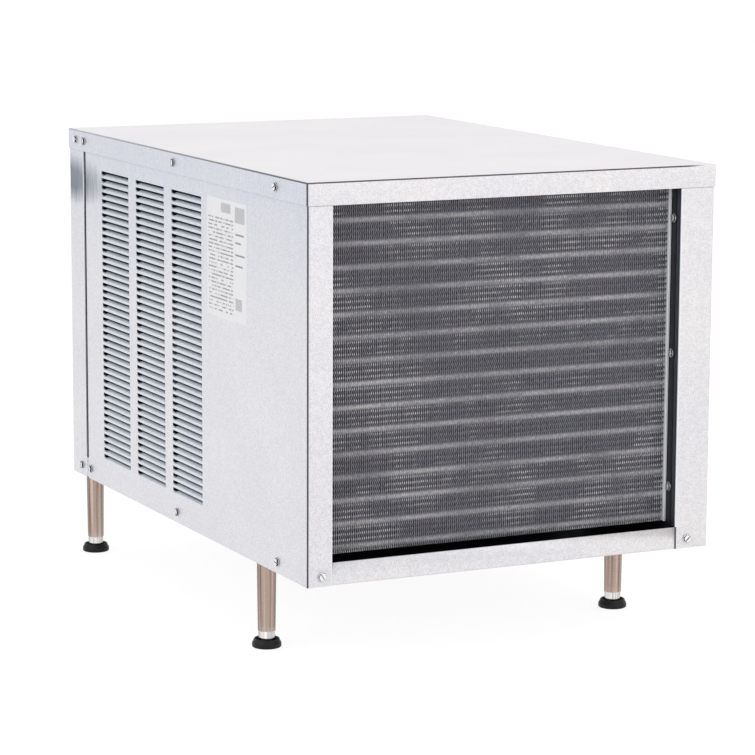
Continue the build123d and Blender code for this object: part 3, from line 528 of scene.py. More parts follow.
# %% The side panel grid
def side_panel(name, side, post):
    """A louvred side panel with its front post and lip. side is -1 for left and 1 for right."""
    outer = side * (right - left) / 2
    lip = outer - side * post
    corners = [(outer, seam), (outer, front), (lip, front), (lip, front + LIP_DEPTH)]
    turned = folded_outline(corners, FOLD)[1:]
    joggle = lip + side * SHEET
    turned += [(Vector((joggle, front + depth * MM)), False) for depth in (11, 24)]
    ys = sorted({c + o for c in louvre_columns for o in blade_offsets}, reverse=True)
    wall = [(Vector((outer, y)), False) for y in [seam - 9.0 * MM] + ys]
    groove = [(GROOVE_DEPTH, -18), (GROOVE_DEPTH, 6.6), (1.5 * MM, 7.1), (0.4 * MM, 7.8)]
    groove = [(Vector((outer - side * depth, seam - along * MM)), True) for depth, along in groove]
    stations = groove + wall + turned

    rows = [(under, None)]
    for number in range(LOUVRE_ROWS):
        low = louvre_first + number * LOUVRE_PITCH - LOUVRE_RISE / 2
        rows += [(low, share) for share in (0.0, 0.12, 0.35, 0.7, 1.0)]
        rows.append((low + LOUVRE_RISE, None))
    rows += [(rail_top + 0.5 * MM, None), (crack_low, None), (crack_high, None), (panel_top, None)]
    rows.sort(key=lambda row: (row[0] + (0 if row[1] is None else row[1] * LOUVRE_RISE), row[1] is None))

    points = []
    for z, share in rows:
        for point, _ in stations:
            height, push = z, 0.0
            if share is not None:
                height = z + LOUVRE_RISE * share
                if abs(point.x - outer) < 1e-9:
                    beside = point.y - min(louvre_columns, key=lambda c: abs(c - point.y))
                    if abs(beside) <= LOUVRE_LENGTH / 2:
                        push = LOUVRE_DEPTH * louvre_reach(beside) * share ** 1.15
                    height = z + (LOUVRE_RISE - slit_drop(beside)) * share
            points.append((point.x - side * push, point.y, height))

    wide = len(stations)
    faces, kinds = [], []
    for r in range(len(rows) - 1):
        (z, share), (z_above, share_above) = rows[r], rows[r + 1]
        for c in range(wide - 1):
            here, folded = stations[c + 1]
            in_lip = here.y > front + FOLD and abs(here.x) < abs(lip) + SHEET * 1.5
            if share == 1.0 or (in_lip and z_above <= rail_top + 0.6 * MM):
                continue
            corner = [r * wide + c, r * wide + c + 1, (r + 1) * wide + c + 1, (r + 1) * wide + c]
            faces.append(corner if side < 0 else corner[::-1])
            on_blade = share_above is not None and share is not None and here.y > front + FOLD * 2
            off_middle = min(abs(here.y - m) for m in louvre_columns)
            # Faces on a blade take its painted shade.
            kind = SHADED_BLADE if on_blade and off_middle < LOUVRE_LENGTH / 2 else PLAIN
            if here.y > seam - GROOVE_WIDTH:
                kind = SHADOWED
            # The band just below the cover's edge takes a painted shadow line.
            elif z == crack_low:
                kind = NEAR_BLACK_SHADE
            elif folded and here.y < front + FOLD * 1.01:
                # The fold at the front corner takes the painted dark reflection.
                kind = FOLDED
                # The fold at the post's inner edge takes the bright edge finish as a painted highlight.
                if abs(here.x - lip) < FOLD * 1.01 and (side < 0 or z_above > rail_top + MM):
                    kind = SHEARED_AND_HIGHLIGHT
            # The post's lip takes the near-black painted shade.
            elif in_lip:
                kind = NEAR_BLACK_SHADE
            kinds.append(kind)
    panel = make_object(name, points, faces, SHEET_FINISH, kinds)
    weld(panel)
    return hand_over_sheet(panel, name)


side_panel("side_panel_left", -1, LEFT_POST)
side_panel("side_panel_right", 1, RIGHT_POST)

# %% [markdown]
# ## The rear panel
# The rear panel wraps round both rear corners and meets the side panels at a seam. Its front edges
# are curled in, which makes the soft groove of the seam. It is the same kind of folded sheet, with
# a window cut for the connection pocket: the rows and columns carry the window's edges, and the
# faces inside it are left out.

# %% The rear panel
pocket_low, pocket_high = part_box("connection_pocket")
POCKET_FLANGE = 14 * MM
window_x = (pocket_low.x + POCKET_FLANGE, pocket_high.x - POCKET_FLANGE)
window_z = (pocket_low.z + POCKET_FLANGE, pocket_high.z - POCKET_FLANGE)
wrap_start = seam + 0.5 * MM


def rear_panel():
    """The rear panel: two side wraps with curled edges and a flat back with a window."""
    lead = wrap_start + 1.6 * MM
    stations = folded_outline([(left, lead), (left, back), (right, back), (right, lead)], FOLD)
    on_back = [i for i, (p, _) in enumerate(stations) if abs(p.y - back) < 1e-9 and p.x > left + FOLD / 2]
    flat = on_back[0] + 1
    stations[flat:flat] = [(Vector((x, back)), False) for x in window_x]
    curl = [(2.35, 0.0), (0.7, 0.0), (0.2, 0.2), (0.0, 0.7)]
    first = [(Vector((left + inset * MM, wrap_start + along * MM)), False) for inset, along in curl]
    last = [(Vector((right - inset * MM, wrap_start + along * MM)), False) for inset, along in reversed(curl)]
    stations = first + stations + last
    rows = [under, window_z[0], window_z[1], crack_low, crack_high, panel_top]
    points = [(s[0].x, s[0].y, z) for z in rows for s in stations]
    wide = len(stations)
    faces, kinds = [], []
    for r in range(len(rows) - 1):
        for c in range(wide - 1):
            (start, _), (end, folded) = stations[c], stations[c + 1]
            if r == 1 and window_x[0] < (start.x + end.x) / 2 < window_x[1] and start.y > back - 1e-6:
                continue
            faces.append([r * wide + c, (r + 1) * wide + c, (r + 1) * wide + c + 1, r * wide + c + 1])
            # The curled front edges take the bright edge finish as a painted highlight.
            curled = max(start.y, end.y) < wrap_start + MM
            kind = SHEARED_AND_HIGHLIGHT if curled else FOLDED if folded else PLAIN
            # The band just below the cover's edge takes a painted shadow line.
            kinds.append(NEAR_BLACK_SHADE if rows[r] == crack_low else kind)
    panel = make_object("rear_panel", points, faces, SHEET_FINISH, kinds)
    weld(panel)
    return hand_over_sheet(panel, "rear_panel")


rear_panel()

# %% [markdown]
# ## The top cover and the base pan
# Both are shallow trays. The cover is turned over: a flat top with four flanges that reach down
# outside the panels. The pan is the right way up, and its front flange is the rail under the
# opening, so its top edge is in plain view as a bright line: a sheared edge, whose finish is also
# a painted highlight. A box with one face deleted, its folded edges bevelled and a sheet thickness
# given inwards is such a tray. The bends of the cover take the fold finish, a painted dark
# reflection.

# %% The trays
def tray(name, open_side, bend, bend_finish, corners_too):
    """A bevelled box open at its top (1) or bottom (-1), thickened inwards."""
    low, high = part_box(name)
    work = bmesh.new()
    bmesh.ops.create_cube(work, size=1)
    for vertex in work.verts:
        vertex.co = Vector((high if c > 0 else low)[i] for i, c in enumerate(vertex.co))
    missing = [f for f in work.faces if f.normal.z * open_side > 0.5]
    bmesh.ops.delete(work, geom=missing, context="FACES_ONLY")
    closed = low.z if open_side > 0 else high.z
    bends = [e for e in work.edges if all(abs(v.co.z - closed) < MM for v in e.verts)]
    if corners_too:
        bends += [e for e in work.edges if abs(e.verts[0].co.z - e.verts[1].co.z) > MM]
    made = bmesh.ops.bevel(work, geom=bends, offset=bend, segments=4, profile=0.5, affect="EDGES")
    for face in work.faces:
        face.smooth = True
    for face in made["faces"]:
        face.material_index = bend_finish
    mesh = bpy.data.meshes.new(name)
    work.to_mesh(mesh)
    work.free()
    for material in SHEET_FINISH:
        mesh.materials.append(material)
    piece = bpy.data.objects.new(name, mesh)
    bpy.context.scene.collection.objects.link(piece)
    return hand_over_sheet(piece, name)


tray("top_cover", -1, 1.5 * MM, FOLDED, True)
tray("base_pan", 1, 1.4 * MM, PLAIN, False)

# %% [markdown]
# ## The condenser's fins
# The coil is a stack of thin aluminium fins, ten to the inch, on copper tubes that the fins' collars
# cover. A fin's front edge is rippled sideways, which stirs the air and catches some light. Behind
# the ripple a fin is flat. So each fin is a thin closed shell: a fine strip at the front, then one
# long face a side. The finish paints the rest of the coil's light and shade: rows of white glints on
# the ripple's crests, pale bands where the collars cover the tubes, and near-black shade a few
# millimetres behind the front edge.

# %% The fin material
fin_metal, tree, shader = start_material("fin_aluminium", 0.45, 0.36)
where = on_object(tree)
split = axes(tree, where)
TUBE_PITCH = 25.4 * MM
RIPPLE_PITCH = 6.35 * MM
# Painted light: pale bands along the tube rows, where the collars cover the tubes.
tube_phase = maths(tree, "DIVIDE", minus(tree, split[2], fins_low.z + 0.25 * TUBE_PITCH), TUBE_PITCH)
off_row = maths(tree, "ABSOLUTE", minus(tree, maths(tree, "FRACT", plus(tree, tube_phase, 0.5)), 0.5))
waver = noise(tree, where, 14.0, 3.0)
off_row = plus(tree, off_row, swing(tree, waver, 0.12))
painted_tube_band = times(tree, spread(tree, off_row, 0.06, 0.18, 1.0, 0.0), spread(tree, waver, 0.3, 0.7, 0.35, 1.0))
# Painted highlights: white glints on the ripple's crests, in patches, and all along the last fins at the
# right.
ripple = maths(tree, "SINE", times(tree, minus(tree, split[2], fins_low.z), TURN / RIPPLE_PITCH))
crest = spread(tree, ripple, -0.1, 0.75, 0.0, 1.0)
patches = add(tree, "TexNoise", {"Vector": where, "Scale": 17.0, "Detail": 6.0, "Roughness": 0.65}).outputs[0]
painted_glint_at_end = maths(tree, "GREATER_THAN", split[0], fins_high.x - 13 * MM)
painted_glint_places = maths(tree, "MAXIMUM", spread(tree, patches, 0.47, 0.6, 0.1, 1.0), painted_glint_at_end)
# Painted shade: a few millimetres behind the front edge the fins turn near black, except on the pale bands.
deep = spread(tree, split[1], fins_low.y, fins_low.y + 2.6 * MM, 0.0, 1.0)
outer_colour = mix_colours(tree, times(tree, crest, painted_glint_places), rgb(0.42, 0.415, 0.48), rgb(1.0, 1.0, 1.0))
outer_colour = mix_colours(tree, times(tree, painted_tube_band, 0.9), outer_colour, rgb(1.0, 0.98, 1.0))
inner_colour = mix_colours(tree, painted_tube_band, rgb(0.014, 0.014, 0.02), rgb(0.95, 0.93, 0.95))
lint = use_group(
    tree, grain, Color=mix_colours(tree, deep, outer_colour, inner_colour),
    Cell_Scale=700.0, Cell_Amount=0.3, Speckle_Scale=400.0, Speckle_Amount=0.6,
)
feed_all(tree, shader, Base_Color=lint["Color"], Roughness=spread(tree, lint["Height"], 0.0, 1.0, 0.3, 0.45))
print("fin finish", fin_metal.name, len(tree.nodes), "nodes")

# %% The fins
FIN_PITCH = 2.54 * MM
FIN_THICKNESS = 0.46 * MM
RIPPLE = 0.5 * MM
RIPPLE_DEPTH = 7 * MM
RIPPLE_STEPS = 4
FIN_PIECES = 6
LEAN_LENGTH = 0.11


def fin_block(name, positions, draw):
    """Several fins as one mesh. Each is a closed thin shell with a rippled front strip."""
    steps = round((fins_high.z - fins_low.z) / RIPPLE_PITCH) * RIPPLE_STEPS
    count = steps + 1
    zs = np.linspace(fins_low.z, fins_high.z, count)
    points, faces = [], []
    for x in positions:
        lean = draw.normal(0, 0.1 * MM)
        strength = RIPPLE * draw.uniform(0.75, 1.2)
        wave = strength * np.sin(TURN * (zs - fins_low.z) / RIPPLE_PITCH + draw.normal(0, 0.25))
        wave = wave + lean * np.sin(TURN * (zs - fins_low.z) / LEAN_LENGTH + draw.uniform(0, TURN))
        a = len(points)
        b = a + 2 * count + 2
        for offset in (-FIN_THICKNESS / 2, FIN_THICKNESS / 2):
            points += [(x + offset + w, fins_low.y, z) for w, z in zip(wave, zs)]
            points += [(x + offset, fins_low.y + RIPPLE_DEPTH, z) for z in zs]
            points += [(x + offset, fins_high.y, fins_low.z), (x + offset, fins_high.y, fins_high.z)]
        for i in range(steps):
            faces.append([a + i, a + i + 1, b + i + 1, b + i])
            faces.append([a + i, a + count + i, a + count + i + 1, a + i + 1])
            faces.append([b + i, b + i + 1, b + count + i + 1, b + count + i])
        flat = list(range(count, 2 * count))
        faces.append([a + f for f in flat] + [a + 2 * count + 1, a + 2 * count])
        faces.append([b + f for f in reversed(flat)] + [b + 2 * count, b + 2 * count + 1])
        faces.append([a + 2 * count, a + 2 * count + 1, b + 2 * count + 1, b + 2 * count])
        faces.append([a, b, b + count, b + 2 * count, a + 2 * count, a + count])
        upper = [count - 1, 2 * count - 1, 2 * count + 1]
        faces.append([a + u for u in upper] + [b + u for u in reversed(upper)])
    return hand_over(make_object(name, points, faces, [fin_metal], smooth=False), "casing", "fin_aluminium")


fin_count = int((fins_high.x - fins_low.x - FIN_THICKNESS) / FIN_PITCH)
fin_margin = (fins_high.x - fins_low.x - (fin_count - 1) * FIN_PITCH) / 2
fin_places = [fins_low.x + fin_margin + i * FIN_PITCH for i in range(fin_count)]
fin_draw = np.random.default_rng(7)
fin_blocks = [
    fin_block(f"condenser_fins_{n + 1}", list(part), fin_draw)
    for n, part in enumerate(np.array_split(fin_places, FIN_PIECES))
]
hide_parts("condenser_fins")
print("fins", fin_count)

# %% [markdown]
# ## The coil's end strip
# The last fin at the right is a heavier strip with its edge turned over. It shows as a bright
# upright line beside the dark gap. A narrow folded strip in the bright edge finish, a painted
# highlight, does it.

# %% The end strip
STRIP_DEPTH = 9 * MM
STRIP_WIDTH = 2.6 * MM
STRIP_STEPS = 31


def end_strip(name, x):
    """A narrow strip with a turned edge, standing in front of the last fin."""
    face = fins_low.y - 3 * MM
    rear = face + STRIP_DEPTH
    outline = [(x + STRIP_WIDTH, rear), (x + STRIP_WIDTH, face), (x, face), (x, rear)]
    stations = folded_outline(outline, 0.35 * MM, steps=3)
    heights = [fins_low.z + (fins_high.z - fins_low.z) * share for share in np.linspace(0, 1, STRIP_STEPS)]
    points = [(s[0].x, s[0].y, z) for z in heights for s in stations]
    span = len(stations)
    faces = [
        [r * span + c, r * span + c + 1, (r + 1) * span + c + 1, (r + 1) * span + c]
        for r in range(STRIP_STEPS - 1)
        for c in range(span - 1)
    ]
    # The strip's near-white finish is a painted highlight.
    strip = make_object(name, points, faces, [cut_edge_and_highlight])
    weld(strip)
    thicken(strip, 0.3 * MM, 0)
    return hand_over(strip, "casing", "fin_aluminium")


end_strip("coil_end_strip_right", fins_high.x - 2.2 * MM)

# %% [markdown]
# ## The rating plate
# The label on the left panel is a thin foil with a printed table. This one carries ruled lines,
# dashes and hatched boxes only. The print is a mask worked out from the place on the plate, so it
# stays sharp at any distance and needs no image.

# %% Helpers for print
def between(tree, value, low, high):
    """1 where value lies between low and high."""
    above = maths(tree, "GREATER_THAN", value, low)
    return times(tree, above, maths(tree, "LESS_THAN", value, high))


def ruled(tree, value, count, share):
    """1 on bars that repeat count times over 0..1 and fill a share of their pitch."""
    return maths(tree, "LESS_THAN", maths(tree, "FRACT", times(tree, value, count)), share)


def box_mask(tree, across, down, limits):
    """1 inside a box of the plate, given as shares of its width and height."""
    x0, x1, y0, y1 = limits
    return times(tree, between(tree, across, x0, x1), between(tree, down, y0, y1))


def either(tree, masks):
    """1 where any of the masks is."""
    result = masks[0]
    for mask in masks[1:]:
        result = maths(tree, "MAXIMUM", result, mask)
    return result


# %% The foil and its print
foil, tree, shader = start_material("printed_foil", 0.15, 0.38)
where = axes(tree, on_object(tree))
across = spread(tree, where[1], plate_high.y, plate_low.y, 0.0, 1.0)
down = spread(tree, where[2], plate_high.z, plate_low.z, 0.0, 1.0)
TABLE = (0.035, 0.665, 0.15, 0.965)
COLUMNS, ROWS = 38.0, 31.0
table = box_mask(tree, across, down, TABLE)
cell = [maths(tree, "FLOOR", times(tree, *pair)) for pair in ((across, COLUMNS), (down, ROWS))]
cell_at = add(tree, "CombineXYZ", dict(enumerate(cell)))
chance = add(tree, "TexWhiteNoise", {"Vector": cell_at.outputs[0]}, noise_dimensions="3D").outputs[0]
dashes = times(tree, ruled(tree, down, ROWS, 0.36), maths(tree, "GREATER_THAN", chance, 0.36))
dashes = times(tree, dashes, table)
rules = times(tree, either(tree, [ruled(tree, down, ROWS / 2, 0.07), ruled(tree, across, 8.0, 0.05)]), table)
hatch = ruled(tree, plus(tree, across, down), 46.0, 0.5)
BLOCKS = [(0.36, 0.60, 0.03, 0.11), (0.71, 0.95, 0.04, 0.17), (0.72, 0.88, 0.80, 0.90)]
blocks = times(tree, hatch, either(tree, [box_mask(tree, across, down, b) for b in BLOCKS]))
BARS = [(0.93, 0.26), (0.86, 0.33), (0.95, 0.43), (0.90, 0.52)]
bars = either(tree, [box_mask(tree, across, down, (0.72, end, y, y + 0.015)) for end, y in BARS])
INK = ((dashes, 0.75), (rules, 0.34), (blocks, 0.85), (bars, 0.8))
inked = either(tree, [times(tree, mask, strength) for mask, strength in INK])
paper = use_group(
    tree, grain, Color=rgb(0.86, 0.835, 0.83),
    Cell_Scale=90.0, Cell_Amount=0.02, Speckle_Scale=700.0, Speckle_Amount=0.04,
)
feed_all(tree, shader, Base_Color=mix_colours(tree, inked, paper["Color"], rgb(0.13, 0.13, 0.16)))
relief(tree, shader, paper["Height"], 0.00005)
print("label", foil.name, len(tree.nodes), "nodes")

# %% [markdown]
# ## Finishes for the pieces that stay as they are
# The legs, pipes, valves, fan, motor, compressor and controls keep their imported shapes. Each slot
# of the record gets one material, made by one helper from the same effects: a colour broken up by
# grain, drawn into streaks where it was turned or brushed, rubbed at its edges and dusted on top.

# %% A helper for a whole finish
def finish(name, colour, worn, metallic, roughness, **options):
    """A material with streaks, grain, edge wear and dust, each as strong as its option says, and where asked
    a painted dark reflection towards its outline.
    """
    option = {**FINISH_DEFAULTS, **options}
    material, tree, shader = start_material(
        name, metallic, roughness,
        Coat_Weight=option["coat"], Coat_Roughness=0.12, Specular_IOR_Level=option["specular"],
    )
    tone = rgb(*colour)
    if option["stretch"]:
        drawn = use_group(tree, streaks, Color=tone, Stretch=option["stretch"], Amount=option["streak"])
        tone = drawn["Color"]
    textured = use_group(
        tree, grain, Color=tone, Cell_Scale=option["cell_scale"], Cell_Amount=option["cell"],
        Speckle_Scale=option["speckle_scale"], Speckle_Amount=option["speckle"],
    )
    tone = textured["Color"]
    # Painted dark reflection: where asked, the colour darkens towards the outline, where the surface turns
    # away from the view.
    if option["rim"]:
        rim = maths(tree, "POWER", add(tree, "LayerWeight", {"Blend": 0.5}).outputs["Facing"], 1.6)
        tone = mix_colours(tree, times(tree, rim, option["rim"]), tone, rgb(0.03, 0.026, 0.024))
    tone = use_group(tree, wear, Color=tone, Worn_Color=rgb(*worn), Amount=option["wear"])["Color"]
    dusted = use_group(tree, dust, Color=tone, Dust_Color=rgb(0.42, 0.41, 0.4), Amount=option["dust"])
    rough = spread(tree, textured["Height"], 0.0, 1.0, roughness * 0.8, min(1.0, roughness * 1.3))
    feed_all(tree, shader, Base_Color=dusted["Color"], Roughness=rough)
    relief(tree, shader, textured["Height"], option["bump"], 0.3)
    return material


FINISH_DEFAULTS = {
    "coat": 0.0, "specular": 0.5, "stretch": None, "streak": 0.3, "cell_scale": 300.0, "cell": 0.08,
    "speckle_scale": 900.0, "speckle": 0.15, "rim": 0.0, "wear": 0.5, "dust": 0.15, "bump": 0.0001,
}


# On the legs and the collars the strong upright streaks are brushing marks and also painted reflections.
UPRIGHT = (260.0, 260.0, 3.0)
finishes = {
    "nickel_leg": finish(
        "satin_nickel", (0.46, 0.35, 0.295), (0.85, 0.8, 0.76), 0.88, 0.3,
        stretch=UPRIGHT, streak=2.4, cell=0.03, speckle=0.08, wear=0.2, dust=0.1, rim=0.85,
    ),
    "bright_collar": finish(
        "bright_plate", (0.70, 0.67, 0.66), (0.95, 0.95, 0.96), 1.0, 0.14,
        stretch=(300.0, 300.0, 3.0), streak=2.2, cell=0.02, speckle=0.05, wear=0.2, dust=0.05, rim=0.9,
    ),
    "black_rubber": finish(
        "moulded_rubber", (0.006, 0.006, 0.007), (0.03, 0.03, 0.03), 0.0, 0.42,
        cell_scale=900.0, cell=0.3, speckle=0.4, dust=0.03, bump=0.00015, specular=0.25,
    ),
    "copper_tube": finish(
        "drawn_copper", (0.66, 0.33, 0.21), (0.86, 0.55, 0.4), 0.95, 0.27,
        cell_scale=70.0, cell=0.25, speckle_scale=260.0, speckle=0.35, wear=0.3, dust=0.12,
    ),
    "fan_aluminium": finish(
        "rolled_aluminium", (0.62, 0.63, 0.65), (0.85, 0.85, 0.87), 0.85, 0.33,
        stretch=(300.0, 20.0, 300.0), streak=0.2, cell=0.04, speckle=0.1, dust=0.25,
    ),
    "plain_steel": finish(
        "turned_steel", (0.42, 0.41, 0.4), (0.72, 0.72, 0.72), 0.95, 0.3,
        stretch=(60.0, 900.0, 900.0), streak=0.3, cell=0.06, speckle=0.15, dust=0.08,
    ),
    "motor_enamel": finish(
        "motor_paint", (0.035, 0.038, 0.043), (0.3, 0.3, 0.3), 0.1, 0.42,
        cell_scale=500.0, cell=0.2, speckle=0.25, wear=0.6, dust=0.35, coat=0.2,
    ),
    "black_enamel": finish(
        "shell_paint", (0.014, 0.014, 0.016), (0.25, 0.25, 0.26), 0.05, 0.36,
        cell_scale=240.0, cell=0.2, speckle_scale=500.0, speckle=0.3, dust=0.3, coat=0.35, bump=0.0002,
    ),
    "iron_casting": finish(
        "sand_casting", (0.12, 0.115, 0.11), (0.4, 0.39, 0.38), 0.7, 0.58,
        cell_scale=320.0, cell=0.35, speckle_scale=700.0, speckle=0.5, bump=0.0005,
    ),
    "dark_plastic": finish(
        "phenolic", (0.02, 0.02, 0.022), (0.12, 0.12, 0.12), 0.0, 0.4,
        cell_scale=800.0, cell=0.2, speckle=0.25, wear=0.4, dust=0.2,
    ),
    "brass_valve": finish(
        "forged_brass", (0.62, 0.44, 0.19), (0.86, 0.7, 0.42), 0.95, 0.28,
        cell_scale=200.0, cell=0.12, speckle_scale=600.0, speckle=0.2, wear=0.6, dust=0.12, bump=0.00015,
    ),
    "drier_enamel": finish(
        "drier_paint", (0.03, 0.075, 0.17), (0.4, 0.4, 0.4), 0.1, 0.35,
        cell_scale=220.0, cell=0.1, speckle=0.2, wear=0.4, dust=0.25, coat=0.4,
    ),
    "grey_plastic": finish(
        "control_case", (0.30, 0.31, 0.32), (0.5, 0.5, 0.5), 0.0, 0.45,
        cell_scale=900.0, cell=0.08, speckle=0.12, wear=0.3, dust=0.25,
    ),
    "red_plastic": finish(
        "reset_cap", (0.52, 0.02, 0.02), (0.7, 0.2, 0.18), 0.0, 0.32,
        cell_scale=900.0, cell=0.06, speckle=0.08, wear=0.3, dust=0.1,
    ),
    "zinc_screw": finish(
        "plated_steel", (0.88, 0.88, 0.89), (0.95, 0.95, 0.95), 0.5, 0.27,
        stretch=(1200.0, 1200.0, 1200.0), streak=0.15, cell=0.04, speckle=0.1, wear=0.3, dust=0.05,
    ),
    "fin_aluminium": fin_metal,
    # The sheet inside the casing takes the near-black painted shade.
    "galvanised_sheet": near_black_shade_zinc,
    "foil_label": foil,
}
print("finishes", len(finishes))

# %% [markdown]
# ## Screws
# The sheet metal screws have a hexagon head forged in one with its washer. The imported screws give
# every place: each screw is an island of its node's mesh, its longest side is its axis, and the
# wide end is the head. One detailed screw is made once, with a domed washer, a chamfered hexagon
# and a driver's slot, and stamped at each place with a turn about its axis drawn at random.

# %% One screw
HEAD_RISE = 3.0 * MM
SHANK_REACH = 3.2 * MM


def ring_of(radius, height, sides, flats=None):
    """Points round the axis: a circle, or a hexagon when its size across flats is given."""
    ring = []
    for step in range(sides):
        angle = TURN * step / sides
        reach = radius
        if flats:
            reach = min(radius, flats / 2 / math.cos(angle % (TURN / 6) - TURN / 12))
        ring.append(Vector((reach * math.cos(angle), reach * math.sin(angle), height)))
    return ring


def lathe(rings):
    """Points and faces of a turned piece from rings of equal length, closed at both ends."""
    points = [p for ring in rings for p in ring]
    sides = len(rings[0])
    faces = []
    for level in range(len(rings) - 1):
        for step in range(sides):
            a, b = level * sides + step, level * sides + (step + 1) % sides
            faces.append([a, b, b + sides, a + sides])
    faces.append(list(range(sides))[::-1])
    faces.append(list(range((len(rings) - 1) * sides, len(rings) * sides)))
    return points, faces


def screw_model(length):
    """A hex washer head screw along +Z, with its seat at z 0 and its point at -length."""
    sides = 36
    rings = [ring_of(r * MM, z * MM, sides) for r, z in ((0.3, 0), (1.4, 2.5))]
    rings = [[p + Vector((0, 0, -length)) for p in ring] for ring in rings]
    rings += [ring_of(1.9 * MM, -length + 3.0 * MM, sides), ring_of(1.9 * MM, 0, sides)]
    washer = ((5.0, 0.0), (5.0, 0.45), (4.85, 0.62), (4.2, 0.85))
    rings += [ring_of(r * MM, z * MM, sides) for r, z in washer]
    head = ((8.0, 4.62, 0.9), (8.0, 4.62, 2.4), (7.7, 4.3, 2.75), (7.0, 3.8, 2.97))
    rings += [ring_of(r * MM, z * MM, sides, flats * MM) for flats, r, z in head]
    rings += [ring_of(2.6 * MM, 3.0 * MM, sides)]
    return lathe(rings)


def cut_slot(points, faces, width, depth):
    """Cuts a driver's slot across the head with a Boolean, and gives the points and faces back."""
    head = make_object("slotted_head", points, faces, [], smooth=False)
    reach = 6 * MM
    corners = [(x, y, z) for z in (HEAD_RISE - depth, HEAD_RISE + depth) for x, y in (
        (-reach, -width / 2), (reach, -width / 2), (reach, width / 2), (-reach, width / 2))]
    sides = [[0, 3, 2, 1], [4, 5, 6, 7], [0, 1, 5, 4], [1, 2, 6, 5], [2, 3, 7, 6], [3, 0, 4, 7]]
    cutter = make_object("slot_cutter", corners, sides, [], smooth=False)
    cut = head.modifiers.new("slot", "BOOLEAN")
    cut.operation = "DIFFERENCE"
    cut.object = cutter
    mesh = head.evaluated_get(bpy.context.evaluated_depsgraph_get()).to_mesh()
    result = [v.co.copy() for v in mesh.vertices], [list(f.vertices) for f in mesh.polygons]
    head.to_mesh_clear()
    bpy.data.objects.remove(head)
    bpy.data.objects.remove(cutter)
    return result


stock = cut_slot(*screw_model(9 * MM), 1.2 * MM, 1.6 * MM)


def steepness(face):
    """How far a face of the stock screw leans away from facing along its axis, from 0 to 1."""
    corners = [stock[0][v] for v in face]
    slope = (corners[1] - corners[0]).cross(corners[2] - corners[0])
    return 1 - abs(slope.z) / max(slope.length, 1e-12)


# The steep faces of the head take the dark side finish, a painted shade; the rest take the plated steel.
stock_finish = [1 if steepness(face) > 0.3 else 0 for face in stock[1]]
print("one screw", len(stock[1]), "faces")

# %% The sides of the heads, in painted shade
screw_side_painted_shade = finish(
    "screw_side_painted_shade", (0.022, 0.022, 0.026), (0.4, 0.4, 0.4), 0.6, 0.35,
    cell_scale=700.0, cell=0.3, speckle=0.3, wear=0.4,
)
print("material", screw_side_painted_shade.name)

# %% The screws of a node
def islands(node):
    """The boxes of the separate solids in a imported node: (middle, low, high, points)."""
    work = bmesh.new()
    work.from_mesh(nodes[node].data)
    bmesh.ops.remove_doubles(work, verts=work.verts, dist=1e-6)
    left_over, found = set(work.verts), []
    while left_over:
        queue, island = [left_over.pop()], []
        while queue:
            vertex = queue.pop()
            island.append(vertex.co.copy())
            for edge in vertex.link_edges:
                other = edge.other_vert(vertex)
                if other in left_over:
                    left_over.remove(other)
                    queue.append(other)
        low = Vector(min(p[i] for p in island) for i in range(3))
        high = Vector(max(p[i] for p in island) for i in range(3))
        found.append(((low + high) / 2, low, high, island))
    work.free()
    return sorted(found, key=lambda i: tuple(round(v, 4) for v in i[0]))


def dress_screws(node, draw):
    """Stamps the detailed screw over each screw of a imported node."""
    points, faces, finish_of = [], [], []
    for middle, low, high, island in islands(node):
        size = high - low
        axis = max(range(3), key=lambda i: size[i])
        across = [i for i in range(3) if i != axis]
        wide = [p for p in island if sum((p[i] - middle[i]) ** 2 for i in across) > SHANK_REACH ** 2]
        sign = 1 if sum(p[axis] for p in wide) / len(wide) > middle[axis] else -1
        outward = Vector(sign if i == axis else 0 for i in range(3))
        tip = high[axis] if sign > 0 else low[axis]
        seat = middle.copy()
        seat[axis] = tip - sign * HEAD_RISE
        spin = Matrix.Rotation(draw.uniform(0, TURN / 2), 4, "Z")
        stand = Matrix.Translation(seat) @ outward.to_track_quat("Z", "Y").to_matrix().to_4x4() @ spin
        start = len(points)
        points += [stand @ p for p in stock[0]]
        faces += [[start + v for v in face] for face in stock[1]]
        finish_of += stock_finish
    piece = make_object(node, points, faces, [finishes["zinc_screw"], screw_side_painted_shade], finish_of)
    piece.data.set_sharp_from_angle(angle=math.radians(35))
    return hand_over(piece, "casing", "zinc_screw", node)


screw_draw = np.random.default_rng(11)
for node in ("cover_screws", "casing_screws"):
    dress_screws(node, screw_draw)

# %% [markdown]
# ## Rubber feet
# Each levelling foot stands in a moulded cup. Rubber has no sharp corner, so the cup is a profile
# with small rounds turned about the foot's axis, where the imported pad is.

# %% The feet
CUP = (
    (0.01, 0.0), (13.8, 0.0), (15.6, 0.15), (16.35, 0.7), (16.6, 1.6), (16.6, 4.4), (16.35, 5.5),
    (15.6, 6.6), (14.95, 7.9), (14.6, 9.0), (14.35, 9.7), (13.8, 10.0), (13.2, 9.8), (12.75, 9.1),
    (12.4, 7.6), (12.2, 6.8), (11.6, 6.5), (0.01, 6.5),
)


def rubber_foot(corner):
    """A rubber cup under one leg, riding on that leg's levelling foot."""
    low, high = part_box(f"foot_pad_{corner}")
    centre = Vector(((low.x + high.x) / 2, (low.y + high.y) / 2, low.z))
    rings = [[p + centre for p in ring_of(r * MM, z * MM, 72)] for r, z in CUP]
    points, faces = lathe(rings)
    cup = make_object(f"foot_pad_{corner}", points, faces, [finishes["black_rubber"]])
    cup.data.set_sharp_from_angle(angle=math.radians(60))
    return hand_over(cup, f"foot_{corner}", "black_rubber", f"foot_pad_{corner}")


CORNERS = ("front_left", "front_right", "back_left", "back_right")
for corner in CORNERS:
    rubber_foot(corner)

# %% [markdown]
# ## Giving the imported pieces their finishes
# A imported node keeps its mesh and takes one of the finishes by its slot, with four exceptions.

